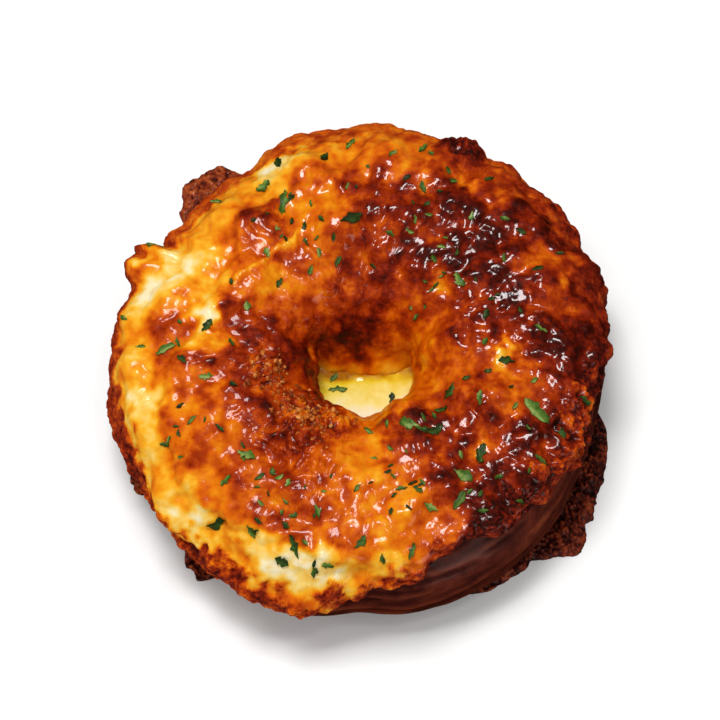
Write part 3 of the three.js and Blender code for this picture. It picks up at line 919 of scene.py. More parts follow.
# bearing, and how grainy the fried rim is
RIM_GRAIN = [
    (0, 0.5), (30, 0.3), (60, 0.2), (130, 0.2), (160, 0.5), (200, 0.7), (225, 1), (280, 1), (300, 0.9),
    (320, 1), (345, 0.9),
]
CRAG_TOASTS = (0.4, 0.72)  # from soft to craggy
BLOTCH = 0.17
PALE_BLOTCH = 0.16
BLOTCH_SIZE = 4.0
CURD_PALING = 0.11  # toast lost by each millimetre that a curd stands up
BLISTER_BROWNING = 0.17  # toast won by each millimetre that a blister stands up
# fried grains are painted paler on their tips and browner in their hollows: painted light and shade
CRISP_GRAIN_SHADING = 0.14  # toast lost by each millimetre that a fried grain stands up
TOAST_MOST = 0.93
FLOW_NORMAL = np.array([0, -1, FLOW_SLOPE]) / np.hypot(1, FLOW_SLOPE)  # of the cheese on the far wall
WALL_FLOWS = (2, 6)  # thickness of the flow over which the relief turns to face the hole
WALL_RELIEF = 0.7
# bearing, and how wet the crust is with fat
WETNESS = [(0, 0.85), (110, 0.85), (150, 0.6), (190, 0.5), (250, 0.5), (290, 0.7), (320, 0.85)]
WET_FROM_HOLE = (-66, -44)
DRY_TO_RIM = (44, 64)
RIM_WETNESS = 0.3
CRISP_DRYNESS = 0.6


def wetness(bearing, lean, crisp):
    """How wet with fat: a level round the ring, none in the hole, less on the rim and on crisp grains."""
    across = smooth_step(lean, *WET_FROM_HOLE) * mix(1, RIM_WETNESS, smooth_step(lean, *DRY_TO_RIM))
    return round_ring(WETNESS, bearing) * across * (1 - CRISP_DRYNESS * crisp)


def cheese_surface(bearing, lean, roll=1.0):
    """Points of the crust, and its looks: toast, crag, crisp and wet. Roll 0 is its edge in the bread."""
    wander = layered(over_bread(bearing, lean, 0), DOME_WANDER_SIZE, salt=31)
    dome_edge = round_ring(DOME_EDGE_LEAN, bearing) + DOME_WANDER * wander
    thick = crust_thickness(bearing, lean, round_ring(RIM_LEAN, bearing), dome_edge)
    even = over_bread(bearing, lean, GAP + thick)
    toast, fried = toasting(bearing, lean, dome_edge, even)
    thick, toast = with_strands(thick, toast, *bent(bearing, lean, even, STRAND_BEND_SIZE, STRAND_BEND))
    crumb = sum(mound_share(spot, bearing, lean) for spot in CRUMB_SPOTS)
    crisp = np.clip(crumb + round_ring(RIM_GRAIN, bearing) * fried, 0, 1)
    crag = smooth_step(toast, *CRAG_TOASTS)
    bumps = relief(even, crag, crisp + crumb) + wrinkles(bearing, lean, even)
    toast = toast + mix(PALE_BLOTCH, BLOTCH, crag) * layered(even, BLOTCH_SIZE, salt=51)
    # on crisp cheese the grains' tips turn paler and the hollows browner: painted light and shade
    toast = toast + mix(mix(-CURD_PALING, BLISTER_BROWNING, crag), -CRISP_GRAIN_SHADING, crisp) * bumps
    on_wall = smooth_step(flow_thickness(bearing, lean), *WALL_FLOWS)
    rise = GAP + np.maximum(LEAST_COVER, thick + (1 - on_wall) * bumps)
    points = over_bread(swollen_ear(bearing, lean), lean, mix(-EDGE_SINK, rise, roll))
    push = on_wall * roll * (WALL_RELIEF * bumps + wall_toe(even))
    wet = wetness(bearing, lean, crisp)
    looks = {"toast": np.clip(toast, 0, TOAST_MOST), "crag": crag, "crisp": crisp, "wet": wet}
    return points + push[..., None] * FLOW_NORMAL, looks


print("the crown's height, right and left:", cheese_surface(ends, np.zeros(2))[0][:, 2].round(1), "mm")

# %% [markdown]
# ## The cheese blanket
# The grid runs from the rim over the crown into the hole, and back along the inside of the bread, where it
# can't be seen. Rows lie closer together near both edges, where the cheese rolls over in a quarter circle.
# A solidify modifier could close the sheet, but it would give the edge a flat cut.

# %% Grid of the cheese blanket
COLUMNS = 616
TOP_ROWS = 152
UNDER_ROWS = 8
ROW_CROWDING = 0.5  # 0 spaces the rows evenly, and 1 as the points of a half circle
RIM_WANDER = 3.0  # degrees of lean by which the cheese's edge wanders
RIM_WANDER_SIZE = 4.0
EDGE_ROLL = 1.6  # radius of the rounded edge
INNER_LEAN = -108  # past the solid's own edge, so that the cheese ends inside the pool
# bearing, and by how many degrees of lean a fried film reaches past the cheese's edge
FILM_REACH = [
    (0, 4), (30, 0), (150, 0), (168, 14), (185, 24), (205, 24), (218, 14), (230, 4), (245, 0), (304, 0),
    (318, 10), (324, 8), (330, 11), (338, 14), (348, 6),
]

even_rows = np.linspace(0, 1, TOP_ROWS)
crowded_rows = mix(even_rows, 0.5 - 0.5 * np.cos(np.pi * even_rows), ROW_CROWDING)
top_bearing, top_share = np.meshgrid(np.arange(COLUMNS) * 360 / COLUMNS, crowded_rows)
rim_here = round_ring(RIM_LEAN, top_bearing) + round_ring(FILM_REACH, top_bearing)
rim_noise = layered(over_bread(top_bearing, rim_here, 0), RIM_WANDER_SIZE, salt=61)
rim_here = rim_here + RIM_WANDER * rim_noise
top_lean = mix(rim_here, INNER_LEAN, top_share)
from_edge = np.minimum(top_share, 1 - top_share) * np.radians(rim_here - INNER_LEAN) * CROWN_RISE
edge_roll = np.sqrt(1 - (1 - np.clip(from_edge / EDGE_ROLL, 0, 1)) ** 2)
top_points, top_looks = cheese_surface(top_bearing, top_lean, edge_roll)

under_share = np.linspace(1, 0, UNDER_ROWS + 2)[1:-1, None]
under_bearing = np.broadcast_to(top_bearing[0], (UNDER_ROWS, COLUMNS))
under_points = over_bread(under_bearing, mix(rim_here[0], INNER_LEAN, under_share), -EDGE_SINK)
hidden = np.zeros((UNDER_ROWS, COLUMNS))
cheese_points = np.vstack([top_points, under_points])
cheese_looks = {label: np.vstack([values, hidden]) for label, values in top_looks.items()}
print("cheese grid:", cheese_points.shape[:2])

# %% [markdown]
# ## Finish of the cheese
# Melted cheese is cream where it is soft, then yellow, orange, red brown and at last nearly black. Light goes
# a little way into it, and fat makes it wet, so it has some subsurface scattering and a clear coat that is
# stronger where the crust is wetter. Browned cheese has faint speckles and fried cheese strong ones, which
# are
# darker where the bump sinks: painted shade in the pits. All of it could be several materials, but it is
# one, because on the real crust each kind runs into the next.

# %% Cheese finish
CHEESE_COLOURS = [
    (0.0, (242, 226, 182)), (0.12, (242, 204, 108)), (0.25, (240, 174, 38)), (0.38, (230, 136, 10)),
    (0.50, (214, 98, 3)), (0.62, (174, 58, 2)), (0.75, (132, 30, 2)), (0.88, (82, 14, 3)), (1.0, (36, 9, 5)),
]
LIGHT_DEPTHS = (1.0, 0.45, 0.15)  # red light goes deepest
SPECKLE = 0.13
SPECKLE_SIZE = 1.8
BROWNED_CONTRAST = 0.18
BROWNED_GRAIN = 1.0
FRIED_CONTRAST = 0.3
FRIED_GRAIN = 0.9
SKIN_GRAIN = 1.2
SKIN_BUMPS = (0.4, 1.0)  # how strong the grain of the skin is on soft and on craggy cheese
CHEESE_ROUGHNESS = (0.3, 0.6)  # of melted and of fried cheese

cheese_finish = Finish(
    "baked_cheese", IOR=FOOD_IOR, Specular_IOR_Level=0.08, Subsurface_Weight=0.1, Subsurface_Scale=0.002,
    Subsurface_Radius=LIGHT_DEPTHS, Coat_Roughness=0.11,
)
fried_share = cheese_finish.attribute("crisp")
browned_share = cheese_finish.attribute("crag")
# speckles on fried cheese; the same noise sinks the bump, so the dark ones are painted shade in pits
fried_specks_and_pit_shade = cheese_finish.mottle(FRIED_GRAIN, FRIED_CONTRAST, detail=4)
fried_specks_and_pit_shade = cheese_finish.math("MULTIPLY", fried_share, fried_specks_and_pit_shade)
browned_specks = cheese_finish.mottle(BROWNED_GRAIN, BROWNED_CONTRAST, detail=4)
browned_specks = cheese_finish.math("MULTIPLY", browned_share, browned_specks)
cheese_finish.colours(
    CHEESE_COLOURS, cheese_finish.attribute("toast"), cheese_finish.mottle(SPECKLE_SIZE, SPECKLE, detail=5),
    fried_specks_and_pit_shade, browned_specks,
)
cheese_finish.feed(cheese_finish.spread(fried_share, *CHEESE_ROUGHNESS), "Roughness")
cheese_finish.feed(cheese_finish.attribute("wet"), "Coat Weight")
skin_strength = cheese_finish.spread(browned_share, *SKIN_BUMPS)
skin_grain = cheese_finish.math("MULTIPLY", cheese_finish.noise(SKIN_GRAIN, detail=5), skin_strength)
# the bump sinks where the fried speckles are dark, which puts painted shade in its pits
cheese_finish.bump(cheese_finish.math("SUBTRACT", skin_grain, fried_specks_and_pit_shade), depth=0.5)

make_piece(
    "cheese", cheese_points, grid_faces(*cheese_points.shape[:2]), cheese_finish.material, "baked_cheese",
    stands_for=["cheese_blanket"], **cheese_looks,
)

# %% [markdown]
# ## Soft cheese in the hole
# Cheese ran into the hole and stayed soft. It is cream, yellow where its fat came out towards the far wall,
# and wet. Its wall follows the bread's hole up to its level, and its top is a disc, slightly dished. Filling
# the hole with a boolean would do, but a grid of rings lets the top have ripples and its own colours.

# %% Soft cheese pool
POOL_DISH = 0.5
POOL_RIPPLE = 0.12
POOL_RIPPLE_SIZE = 6.0
POOL_COLUMN = 2.5  # degrees of bearing
POOL_BASE_ROWS = 4
POOL_WALL_ROWS = 10
POOL_TOP_ROWS = 30
POOL_ROWS = POOL_BASE_ROWS + POOL_WALL_ROWS + POOL_TOP_ROWS


def pool_top(points):
    """The dish under the level, with soft ripples."""
    edge = skin_radius(np.degrees(np.arctan2(points[..., 1], points[..., 0])), POOL_LEVEL, -1) - GAP
    share = np.hypot(points[..., 0], points[..., 1]) / edge
    ripple = POOL_RIPPLE * layered(points, POOL_RIPPLE_SIZE, salt=71) * (1 - share ** 4)
    return POOL_LEVEL - POOL_DISH * (1 - share ** 2) + ripple


pool_bearing, pool_row = np.meshgrid(np.arange(0, 360, POOL_COLUMN), np.arange(POOL_ROWS))
wall_height = POOL_LEVEL * np.clip((pool_row - POOL_BASE_ROWS) / POOL_WALL_ROWS, 0, 1)
share_of_base = pool_row / POOL_BASE_ROWS
share_of_top = (POOL_ROWS - 1 - pool_row) / (POOL_TOP_ROWS - 1)
pool_share = np.clip(np.minimum(share_of_base, share_of_top), 0, 1)
pool_radius = pool_share * (skin_radius(pool_bearing, wall_height, -1) - GAP)
pool_points = at_bearing(pool_bearing, pool_radius, wall_height)
on_top = pool_row >= POOL_BASE_ROWS + POOL_WALL_ROWS
dished = pool_top(at_bearing(pool_bearing, pool_radius, 0.0))
pool_points[..., 2] = np.where(on_top, dished, wall_height)
print("pool grid:", pool_points.shape[:2])

# %% [markdown]
# ## Finish of the soft cheese
# The colour goes from cream in front over yellow, where the fat gathered, to a darker amber right by the far
# wall, which is painted shade from the wall. A gradient texture could do it. Here it is worked out for each
# point from how far back it lies, with noise to break it up, so that it follows the hole. A clear coat makes
# it wet.

# %% Soft cheese finish
POOL_COLOURS = [
    (0.0, (254, 246, 214)), (0.3, (252, 234, 138)), (0.6, (238, 208, 44)), (0.8, (214, 164, 8)),
    (1.0, (164, 98, 4)),
]
FAT_PLACES = (-11, -3)  # millimetres from the axis, front to back, over which the cheese grows fatter
FAT_TONE = 0.55
# millimetres from the axis, front to back, over which the far wall's painted shade comes in
WALL_SHADE_PLACES = (-3.5, 0.5)
WALL_SHADE_TONE = 0.4
POOL_BLOTCH = 0.2
POOL_BLOTCH_SIZE = 4.5
POOL_MOTTLE = 0.08

fat = FAT_TONE * smooth_step(pool_points[..., 1], *FAT_PLACES)
# painted shade: the pool darkens to amber close under the far wall
wall_shade = WALL_SHADE_TONE * smooth_step(pool_points[..., 1], *WALL_SHADE_PLACES)
pool_tone = np.clip(fat + wall_shade + POOL_BLOTCH * layered(pool_points, POOL_BLOTCH_SIZE, salt=72), 0, 1)

pool_finish = Finish(
    "soft_cheese", Roughness=0.25, IOR=FOOD_IOR, Specular_IOR_Level=0.05, Coat_Weight=0.6,
    Coat_Roughness=0.06,
)
pool_mottle = pool_finish.mottle(size=1.2, amount=POOL_MOTTLE)
pool_finish.colours(POOL_COLOURS, pool_finish.attribute("tone"), pool_mottle)
pool_finish.bump(pool_finish.noise(size=3.0, detail=2), depth=0.2)
make_piece(
    "pool", pool_points, grid_faces(*pool_points.shape[:2], closed_rows=False), pool_finish.material,
    "soft_cheese", stands_for=["cheese_pool"], has_poles=True, tone=pool_tone,
)

# %% [markdown]
# ## Fried wafers
# Where cheese reached the hot tray it fried to thin, dark, lacy crisps that stick out from under the ring.
# Each is a flat tongue from the bread's foot to an outline, with its base on the floor. A plane with a
# displace modifier could give the grains. Here packed grains and a ragged edge are worked out with the
# tongue, so that its top can be kept clear of the bread.

# %% Fried wafers
WAFER_THICK = 2
WAFER_LUMPS = 0.7
WAFER_LEAST_REACH = 0.5
WAFER_RAGGED = 1.1
WAFER_RAGGED_SIZE = 4.0
WAFER_STIR = 0.5
WAFER_STIR_SIZE = 2.0
WAFER_GRAINS = [(3.2, 1.2), (1.5, 1.4), (0.8, 2.0)]
WAFER_STEPS = 60  # rows across the top, and again across the base
COLUMNS_PER_DEGREE = 4
# bearing, and reach of the edge from the ring's axis
WAFERS = {
    "wafer_front_right": [
        (295, 55), (303, 57), (313, 57.3), (322, 63.6), (330, 61), (340, 59.6), (349, 58.2), (356, 55),
    ],
    "wafer_back_left": [(110, 53), (116, 62), (121, 67), (128, 67.2), (133, 62.5), (137, 53)],
    "wafer_front_left": [(222, 54), (228, 58.2), (232, 58), (237, 54)],
    "wafer_left": [(198, 54), (203, 57), (206, 56.6), (210, 54)],
}


def wafer_grid(reach):
    """A tongue: across the base from the bread's foot to the outline, then back over the lumpy top."""
    first, last = reach[0][0], reach[-1][0]
    rows = 2 * WAFER_STEPS
    along, row = np.meshgrid(np.linspace(0, 1, (last - first) * COLUMNS_PER_DEGREE), np.arange(rows))
    bearing = mix(first, last, along)
    on_top = row >= WAFER_STEPS
    share = np.where(on_top, rows - 1 - row, row) / (WAFER_STEPS - 1)
    foot = skin_radius(bearing, 0, 1) + GAP
    edge = round_ring(reach, bearing)
    ragged = WAFER_RAGGED * layered(at_bearing(bearing, edge, 0.0), WAFER_RAGGED_SIZE, salt=81, layers=4)
    edge = np.maximum(foot + WAFER_LEAST_REACH, edge + ragged * np.sin(np.pi * along))
    radius = mix(foot, edge, share)
    body = np.sqrt(np.clip(np.sin(np.pi * along) * (1 - share ** 3), 0, 1))
    uneven = stirred(at_bearing(bearing, radius, 0.0), WAFER_STIR_SIZE, WAFER_STIR, salt=85)
    grain = heaped(uneven, WAFER_GRAINS, salt=82)
    grain = grain - grain.mean()
    height = (WAFER_THICK + WAFER_LUMPS * lump_rise(bearing, radius) + grain) * body
    height = np.where(on_top, np.maximum(0, height), 0)
    inner = skin_radius(bearing, height, 1) + GAP
    radius = np.where(on_top, np.maximum(radius, np.minimum(inner, edge)), radius)
    return at_bearing(bearing, radius, height), grain


wafer_grids = {node: wafer_grid(reach) for node, reach in WAFERS.items()}
print({node: points.shape[:2] for node, (points, grain) in wafer_grids.items()})

# %% [markdown]
# ## Finish of the wafers
# Fried cheese is red brown, and its colour comes from the same grains as its shape: lighter on the grains
# that stand up and darker in the hollows, which is painted light and shade. The wafer at the back fried less
# and is lighter. Each could have its own material.
# Here all four share one, so that they stay alike, and the level of each goes into its attribute.

# %% Wafer finish
WAFER_COLOURS = [
    (0.0, (28, 6, 3)), (0.3, (72, 18, 7)), (0.5, (122, 40, 12)), (0.75, (166, 72, 26)), (1.0, (206, 118, 60)),
]
WAFER_TONES = {
    "wafer_front_right": 0.33, "wafer_back_left": 0.58, "wafer_front_left": 0.4, "wafer_left": 0.4,
}
# how much lighter the grains' tops and darker the hollows are: painted light and shade
WAFER_GRAIN_SHADING = 0.3
WAFER_MOTTLE = 0.3

wafer_finish = Finish(
    "fried_cheese", Roughness=0.45, IOR=FOOD_IOR, Specular_IOR_Level=0.15, Coat_Weight=0.22,
    Coat_Roughness=0.15,
)
wafer_mottle = wafer_finish.mottle(size=1.1, amount=WAFER_MOTTLE, detail=5)
wafer_finish.colours(WAFER_COLOURS, wafer_finish.attribute("grain"), wafer_mottle)
wafer_finish.bump(wafer_finish.noise(size=0.6, detail=4), depth=0.4)
for node, (points, grain) in wafer_grids.items():
    make_piece(
        "fried_" + node, points, grid_faces(*points.shape[:2], closed_columns=False), wafer_finish.material,
        # grain: each wafer's level, with painted light on the grains and painted shade in the hollows
        "fried_cheese", stands_for=[node], has_poles=True, grain=WAFER_TONES[node] + WAFER_GRAIN_SHADING * grain,
    )

# %% [markdown]
# ## Places of the herb flakes
# Chopped herb leaves were sprinkled over everything. The largest lie where they are on the real bagel, small
# scraps gather in clusters, and the rest are spread evenly. Blender could scatter them with a particle system
# or geometry nodes. Lists and a repeatable draw say exactly where each one is.

# %% Places of the flakes
# bearing, lean, length, turn from +X
LARGE_HERBS = [
    (334, 19, 6.2, -52), (94, -17, 4.6, 25), (184, 24, 4.4, 28), (326, -33, 3.9, 45), (306, -24, 3.6, 27),
    (297, -35, 3.6, 3), (30, -24, 3.7, -70), (118, 16, 6, 78), (234, 47, 4.6, 12), (252, 46, 3, -28),
    (230, 5, 3.7, -30), (254, 36, 4.2, -66), (299, 20, 4.6, 57), (304, 8, 4.1, -33), (313, 5, 4.3, 70),
]
# bearing, reach from the axis, length, turn from +X
POOL_HERBS = [(218, 6.3, 3.9, 0), (320, 9.6, 2.6, 80), (191, 6, 2.4, 60)]
SMALL_HERBS = 50
SMALL_HERB_LENGTH = (1.7, 3.1)
HERB_LEANS = (-44, 56)
HERB_RIM_GAP = 12  # degrees of lean kept free along the cheese's edge
HERB_CROWDING = 0.75  # under 1 moves the flakes outwards, where the ring is longer
# bearing, lean, half width in millimetres, how many scraps
SCRAP_SPOTS = [
    (245, 8, 5, 14), (256, 28, 4, 9), (300, -30, 4, 9), (280, 8, 4, 9), (306, 6, 5, 9), (210, 28, 3, 7),
    (40, -14, 7, 12), (66, -8, 6, 9), (119, 8, 5, 9), (114, -15, 4, 7), (26, -46, 5, 5), (336, 10, 6, 7),
    (278, -20, 3, 5), (84, 18, 9, 6), (178, 18, 4, 4),
]
SCRAP_LENGTH = (0.9, 2.2)
GOLDEN_TURN = 137.50776
PLASTIC_STEP = 0.7548777
DRAW_STEP = 12.9898
DRAW_SALT = 78.233


def draw(number, salt):
    """A repeatable draw from 0 to 1 for a numbered flake."""
    return fraction(np.sin((number + 1) * DRAW_STEP + salt * DRAW_SALT) * HASH_SCALE)


def spread_flakes():
    """Flakes spread evenly: bearings step by the golden angle, leans by the plastic number."""
    number = np.arange(SMALL_HERBS)
    bearing = number * GOLDEN_TURN % 360
    outermost = np.minimum(HERB_LEANS[1], round_ring(RIM_LEAN, bearing) - HERB_RIM_GAP)
    lean = mix(HERB_LEANS[0], outermost, fraction(0.5 + number * PLASTIC_STEP) ** HERB_CROWDING)
    length = mix(*SMALL_HERB_LENGTH, draw(number, 1))
    return np.stack([bearing, lean, length, 360 * draw(number, 3)], -1)


def scattered_scraps(dice):
    """Scraps scattered about each spot by a bell, with drawn lengths and turns."""
    scraps = []
    for bearing, lean, width, count in SCRAP_SPOTS:
        radius = skin(np.array(bearing), np.array(lean))[0]
        around, across = width * dice.normal(size=(2, count))
        length = dice.uniform(*SCRAP_LENGTH, count)
        turn = dice.uniform(0, 360, count)
        place = bearing + np.degrees(around / radius), lean + np.degrees(across / CROWN_RISE)
        scraps.append(np.stack([*place, length, turn], -1))
    return np.vstack(scraps)


crust_flakes = np.vstack([spread_flakes(), LARGE_HERBS, scattered_scraps(np.random.default_rng(3))])
print(len(crust_flakes), "flakes on the crust and", len(POOL_HERBS), "in the pool")

# %% [markdown]
# ## Shape of a herb flake
# A flake is a small sheet: a leaf outline with ragged sides, on a grid of its length and width, cut slanting
# and folded along its middle. An image of a leaf on a flat card would look the same from far off, but a mesh
# has a real edge. Each leaf differs by a few draws.

# %% One leaf
FLAKE_STEPS = 8  # points along a leaf
FLAKE_POINTS = 4  # and across it
FLAKE_CURL = 0.45
CURL_DOWN = 0.3  # the share of leaves whose tips don't curl up
FLAKE_FOLD = 0.4
WIDTH_SHARES = (0.36, 0.66)
RAGGED_SIDES = (0.35, 1.3)
TIP_POWERS = (0.3, 0.9)  # blunt to pointed
TIP_REACH = 0.96
SLANTS = (-0.25, 0.25)
BENDS = (-0.8, 0.8)
DRAWS_PER_LEAF = 31


def leaf_sheet(length, number):
    """Points of a chopped leaf: along and across it, ragged at both sides, cut slanting, and folded."""
    along = np.linspace(-0.5, 0.5, FLAKE_STEPS)[:, None]
    across = np.linspace(-1, 1, FLAKE_POINTS)
    width = length * mix(*WIDTH_SHARES, draw(number, 2))
    step = number * DRAWS_PER_LEAF + np.arange(FLAKE_STEPS)[:, None]
    ragged = mix(*RAGGED_SIDES, np.where(across < 0, draw(step, 5), draw(step, 6)))
    taper = np.cos(np.pi * along * TIP_REACH) ** mix(*TIP_POWERS, draw(number, 11))
    slant = mix(*SLANTS, draw(number, 4)) * across
    bend = mix(*BENDS, draw(number, 7)) * along ** 2
    curl = FLAKE_CURL * (along * 2) ** 2 * (draw(number, 8) - CURL_DOWN)
    fold = FLAKE_FOLD * np.abs(across) * draw(number, 9)
    return length * along + width * slant, width * (0.5 * across * ragged * taper + bend), curl + fold


print("a leaf has", leaf_sheet(4.0, 0)[0].shape, "points on each face")

# %% [markdown]
# ## Laying the flakes on the cheese
# The sheet is laid on the crust by working out the crust's own surface under every point of it, so it bends
# over the blisters as a wet leaf does. A shrinkwrap modifier could lay it there too, but this needs no mesh
# to aim at. In the pool it is laid on the soft cheese in the same way. A thin rim closes its two faces.

# %% Flakes on the crust and in the pool
FLAKE_THICK = 0.16
FLAKE_LIFT = 0.1
FLAKE_ROOT = 0.3  # how far the lower face lies below the lifted sheet
CRUST_RADIUS = CROWN_RISE + 3  # of the section, over the cheese
FAR_OFF = 60.0  # a point this far off the skin shows which way is out


def turned_sheet(along, across, turn):
    """A leaf's points turned in their own plane by a number of degrees."""
    angle = np.radians(turn)
    return along * np.cos(angle) - across * np.sin(angle), along * np.sin(angle) + across * np.cos(angle)


def closed_sheet(sheet, normal, curl):
    """Rings of points round a leaf: along its upper face, then back along the lower one."""
    lift = (FLAKE_LIFT + np.maximum(curl, 0))[..., None]
    upper = sheet + normal * (lift + FLAKE_THICK)
    lower = sheet + normal * (lift - FLAKE_ROOT)
    return np.concatenate([upper, lower[:, ::-1]], 1)


def crust_flake(place, number):
    """A leaf turned to its direction and laid on the crust."""
    bearing, lean, length, turn = place
    along, across, curl = leaf_sheet(length, number)
    outward, sideways = turned_sheet(along, across, turn - bearing)
    radius = skin(np.array(bearing), np.array(lean))[0]
    at_place = bearing + np.degrees(sideways / radius), lean + np.degrees(outward / CRUST_RADIUS)
    sheet = cheese_surface(*at_place)[0]
    normal = over_bread(*at_place, FAR_OFF) - sheet
    normal = normal / np.linalg.norm(normal, axis=-1, keepdims=True)
    return closed_sheet(sheet, normal, curl)


def pool_flake(place, number):
    """A leaf turned to its direction and laid on the soft cheese."""
    bearing, reach, length, turn = place
    along, across, curl = leaf_sheet(length, number)
    right, back = turned_sheet(along, across, turn)
    centre = at_bearing(np.array(bearing), reach, 0.0)
    sheet = np.stack([centre[0] + right, centre[1] + back, np.zeros(right.shape)], -1)
    sheet[..., 2] = pool_top(sheet)
    return closed_sheet(sheet, np.array([0, 0, 1]), curl)


flake_rings = [crust_flake(place, number) for number, place in enumerate(crust_flakes)]
flake_rings += [pool_flake(place, number) for number, place in enumerate(POOL_HERBS)]
herb_points = np.stack(flake_rings)
herbs, steps, ring = herb_points.shape[:3]
first_cap = np.array([[k, k + 1, ring - 2 - k, ring - 1 - k] for k in range(FLAKE_POINTS - 1)])
last_cap = (steps - 1) * ring + first_cap[:, ::-1]
one_leaf = np.vstack([grid_faces(steps, ring, closed_rows=False), first_cap, last_cap])
herb_faces = repeated_faces(one_leaf, steps * ring, herbs)
print(herbs, "leaves of", len(one_leaf), "faces")

# %% [markdown]
# ## Finish of the herbs
# Chopped herbs are dull dark green, lighter where they dried. Each leaf has its own level, one half of it is
# painted lighter and the other darker, as the lit and shaded sides of its fold, and noise mottles it. A few
# green materials could give the shades. Here the leaves are one mesh with one material, so that each can have
# its own level, and the level goes into an attribute.

# %% Herb finish
HERB_COLOURS = [
    (0.0, (20, 28, 8)), (0.35, (38, 58, 14)), (0.65, (60, 90, 24)), (0.88, (90, 122, 42)),
    (1.0, (132, 152, 76)),
]
LEAF_TINTS = (0.25, 0.95)
# painted light and shade on the two halves of each leaf's fold
FOLD_SIDE_SHADE = 0.12
LEAF_MOTTLE = 0.3

leaf_tint = mix(*LEAF_TINTS, draw(np.arange(herbs), 10)[:, None, None])
# painted light and shade: one half of each leaf lighter, the other darker, as the sides of its fold
fold_side_shade = np.where(np.arange(ring) % (ring - 1) < 2, FOLD_SIDE_SHADE, -FOLD_SIDE_SHADE)
herb_tint = np.broadcast_to(leaf_tint + fold_side_shade, herb_points.shape[:3])

herb_finish = Finish(
    "herb_leaf", Roughness=0.5, IOR=FOOD_IOR, Specular_IOR_Level=0.2, Coat_Weight=0.12, Coat_Roughness=0.2,
)
leaf_mottle = herb_finish.mottle(size=0.9, amount=LEAF_MOTTLE)
herb_finish.colours(HERB_COLOURS, herb_finish.attribute("tint"), leaf_mottle)
herb_finish.bump(herb_finish.noise(size=0.5), depth=0.2)
make_piece("herb_flakes", herb_points, herb_faces, herb_finish.material, "baked_cheese", tint=herb_tint)

# %% [markdown]
# ## Crumbs
# By the hole, at the front left, the crust broke up into golden crumbs. A crumb is a small ball made uneven
# by noise, a grid of turns and heights that is closed at its poles. Copies of one object would do for
# identical grains. Here all of them are one mesh, and each has its own shape.

# %% Crumbs
# bearing, lean, half length round the ring, half width across it, how many
CRUMB_HEAPS = [
    (240, -37, 6, 4, 150), (203, -34, 5, 3.5, 80), (258, -47, 3, 2, 30), (222, -34, 5, 3, 40),
]
CRUMB_SCATTER = 1.6  # standard deviations in a half length or half width
CRUMB_RADIUS = (0.18, 0.55)
CRUMB_SINK = 0.2
CRUMB_TURN = 45  # degrees between the points of a ball
CRUMB_ROWS = 6
CRUMB_UNEVEN = 1.3
CRUMB_UNEVEN_SIZE = 1.2
CRUMB_APART = 20  # each crumb takes its noise from a place this far on


def crumb_places(dice):
    """Bearings and leans scattered about each heap by a bell."""
    places = []
    for bearing, lean, length, width, count in CRUMB_HEAPS:
        radius = skin(np.array(bearing), np.array(lean))[0]
        scatter = dice.normal(size=(count, 2)) / CRUMB_SCATTER
        half_sizes = np.degrees(length / radius), np.degrees(width / CROWN_RISE)
        places.append((bearing, lean) + scatter * half_sizes)
    return np.vstack(places)


dice = np.random.default_rng(7)
crumb_bearing, crumb_lean = crumb_places(dice).T
crumb_seat = cheese_surface(crumb_bearing, crumb_lean)[0][:, None, None, :]
crumbs = len(crumb_seat)
tilts = np.radians(np.linspace(-90, 90, CRUMB_ROWS))
turn, tilt = np.meshgrid(np.radians(np.arange(0, 360, CRUMB_TURN)), tilts)
ball = np.stack([np.cos(tilt) * np.cos(turn), np.cos(tilt) * np.sin(turn), np.sin(tilt)], -1)
crumb_size = dice.uniform(*CRUMB_RADIUS, crumbs)[:, None, None, None]
crumb_shift = CRUMB_APART * np.arange(crumbs)[:, None, None, None]
uneven = 1 + CRUMB_UNEVEN * noise(ball + crumb_shift, CRUMB_UNEVEN_SIZE, salt=91)[..., None]
crumb_points = crumb_seat + crumb_size * ball * uneven - (0, 0, CRUMB_SINK)
points_each = ball.shape[0] * ball.shape[1]
crumb_faces = repeated_faces(grid_faces(*ball.shape[:2], closed_rows=False), points_each, crumbs)
print(crumbs, "crumbs of", points_each, "points")

# %% [markdown]
# ## Finish of the crumbs
# Crumbs are dry and run from brown to gold. A material for each shade could do. Here each crumb has its own
# level, drawn so that middle shades are the most common, and one ramp turns the level into a colour.

# %% Crumb finish
CRUMB_COLOURS = [(0.0, (80, 24, 6)), (0.35, (146, 62, 16)), (0.7, (194, 104, 34)), (1.0, (228, 152, 76))]
CRUMB_TONES = (2.2, 1.8)  # the two powers of a beta draw
CRUMB_MOTTLE = 0.15

crumb_tone = np.repeat(dice.beta(*CRUMB_TONES, crumbs), points_each)
crumb_finish = Finish("golden_crumb", Roughness=0.45, IOR=FOOD_IOR, Specular_IOR_Level=0.3)
crumb_mottle = crumb_finish.mottle(size=0.7, amount=CRUMB_MOTTLE)
crumb_finish.colours(CRUMB_COLOURS, crumb_finish.attribute("tone"), crumb_mottle)
crumb_finish.bump(crumb_finish.noise(size=0.4), depth=0.2)
make_piece(
    "crumbs", crumb_points, crumb_faces, crumb_finish.material, "baked_cheese", has_poles=True,
    tone=crumb_tone,
)

# %% [markdown]
# ## Camera
# The photograph looks down on the bagel from in front, at 68 degrees, from far away with a long lens. A
# camera in Blender looks along its own -Z, so its three directions, right, up and back, are worked out from
# that angle and set as its matrix. A tracking constraint could aim it, but the matrix holds without one.

# %% Camera
CAMERA_ELEVATION = 68
CAMERA_DISTANCE = 700
CAMERA_LENS = 150.95
CAMERA_SENSOR = 36
CAMERA_UP = 7.2  # the picture's middle lies this far up from the ring's axis
CAMERA_RIGHT = 0.1


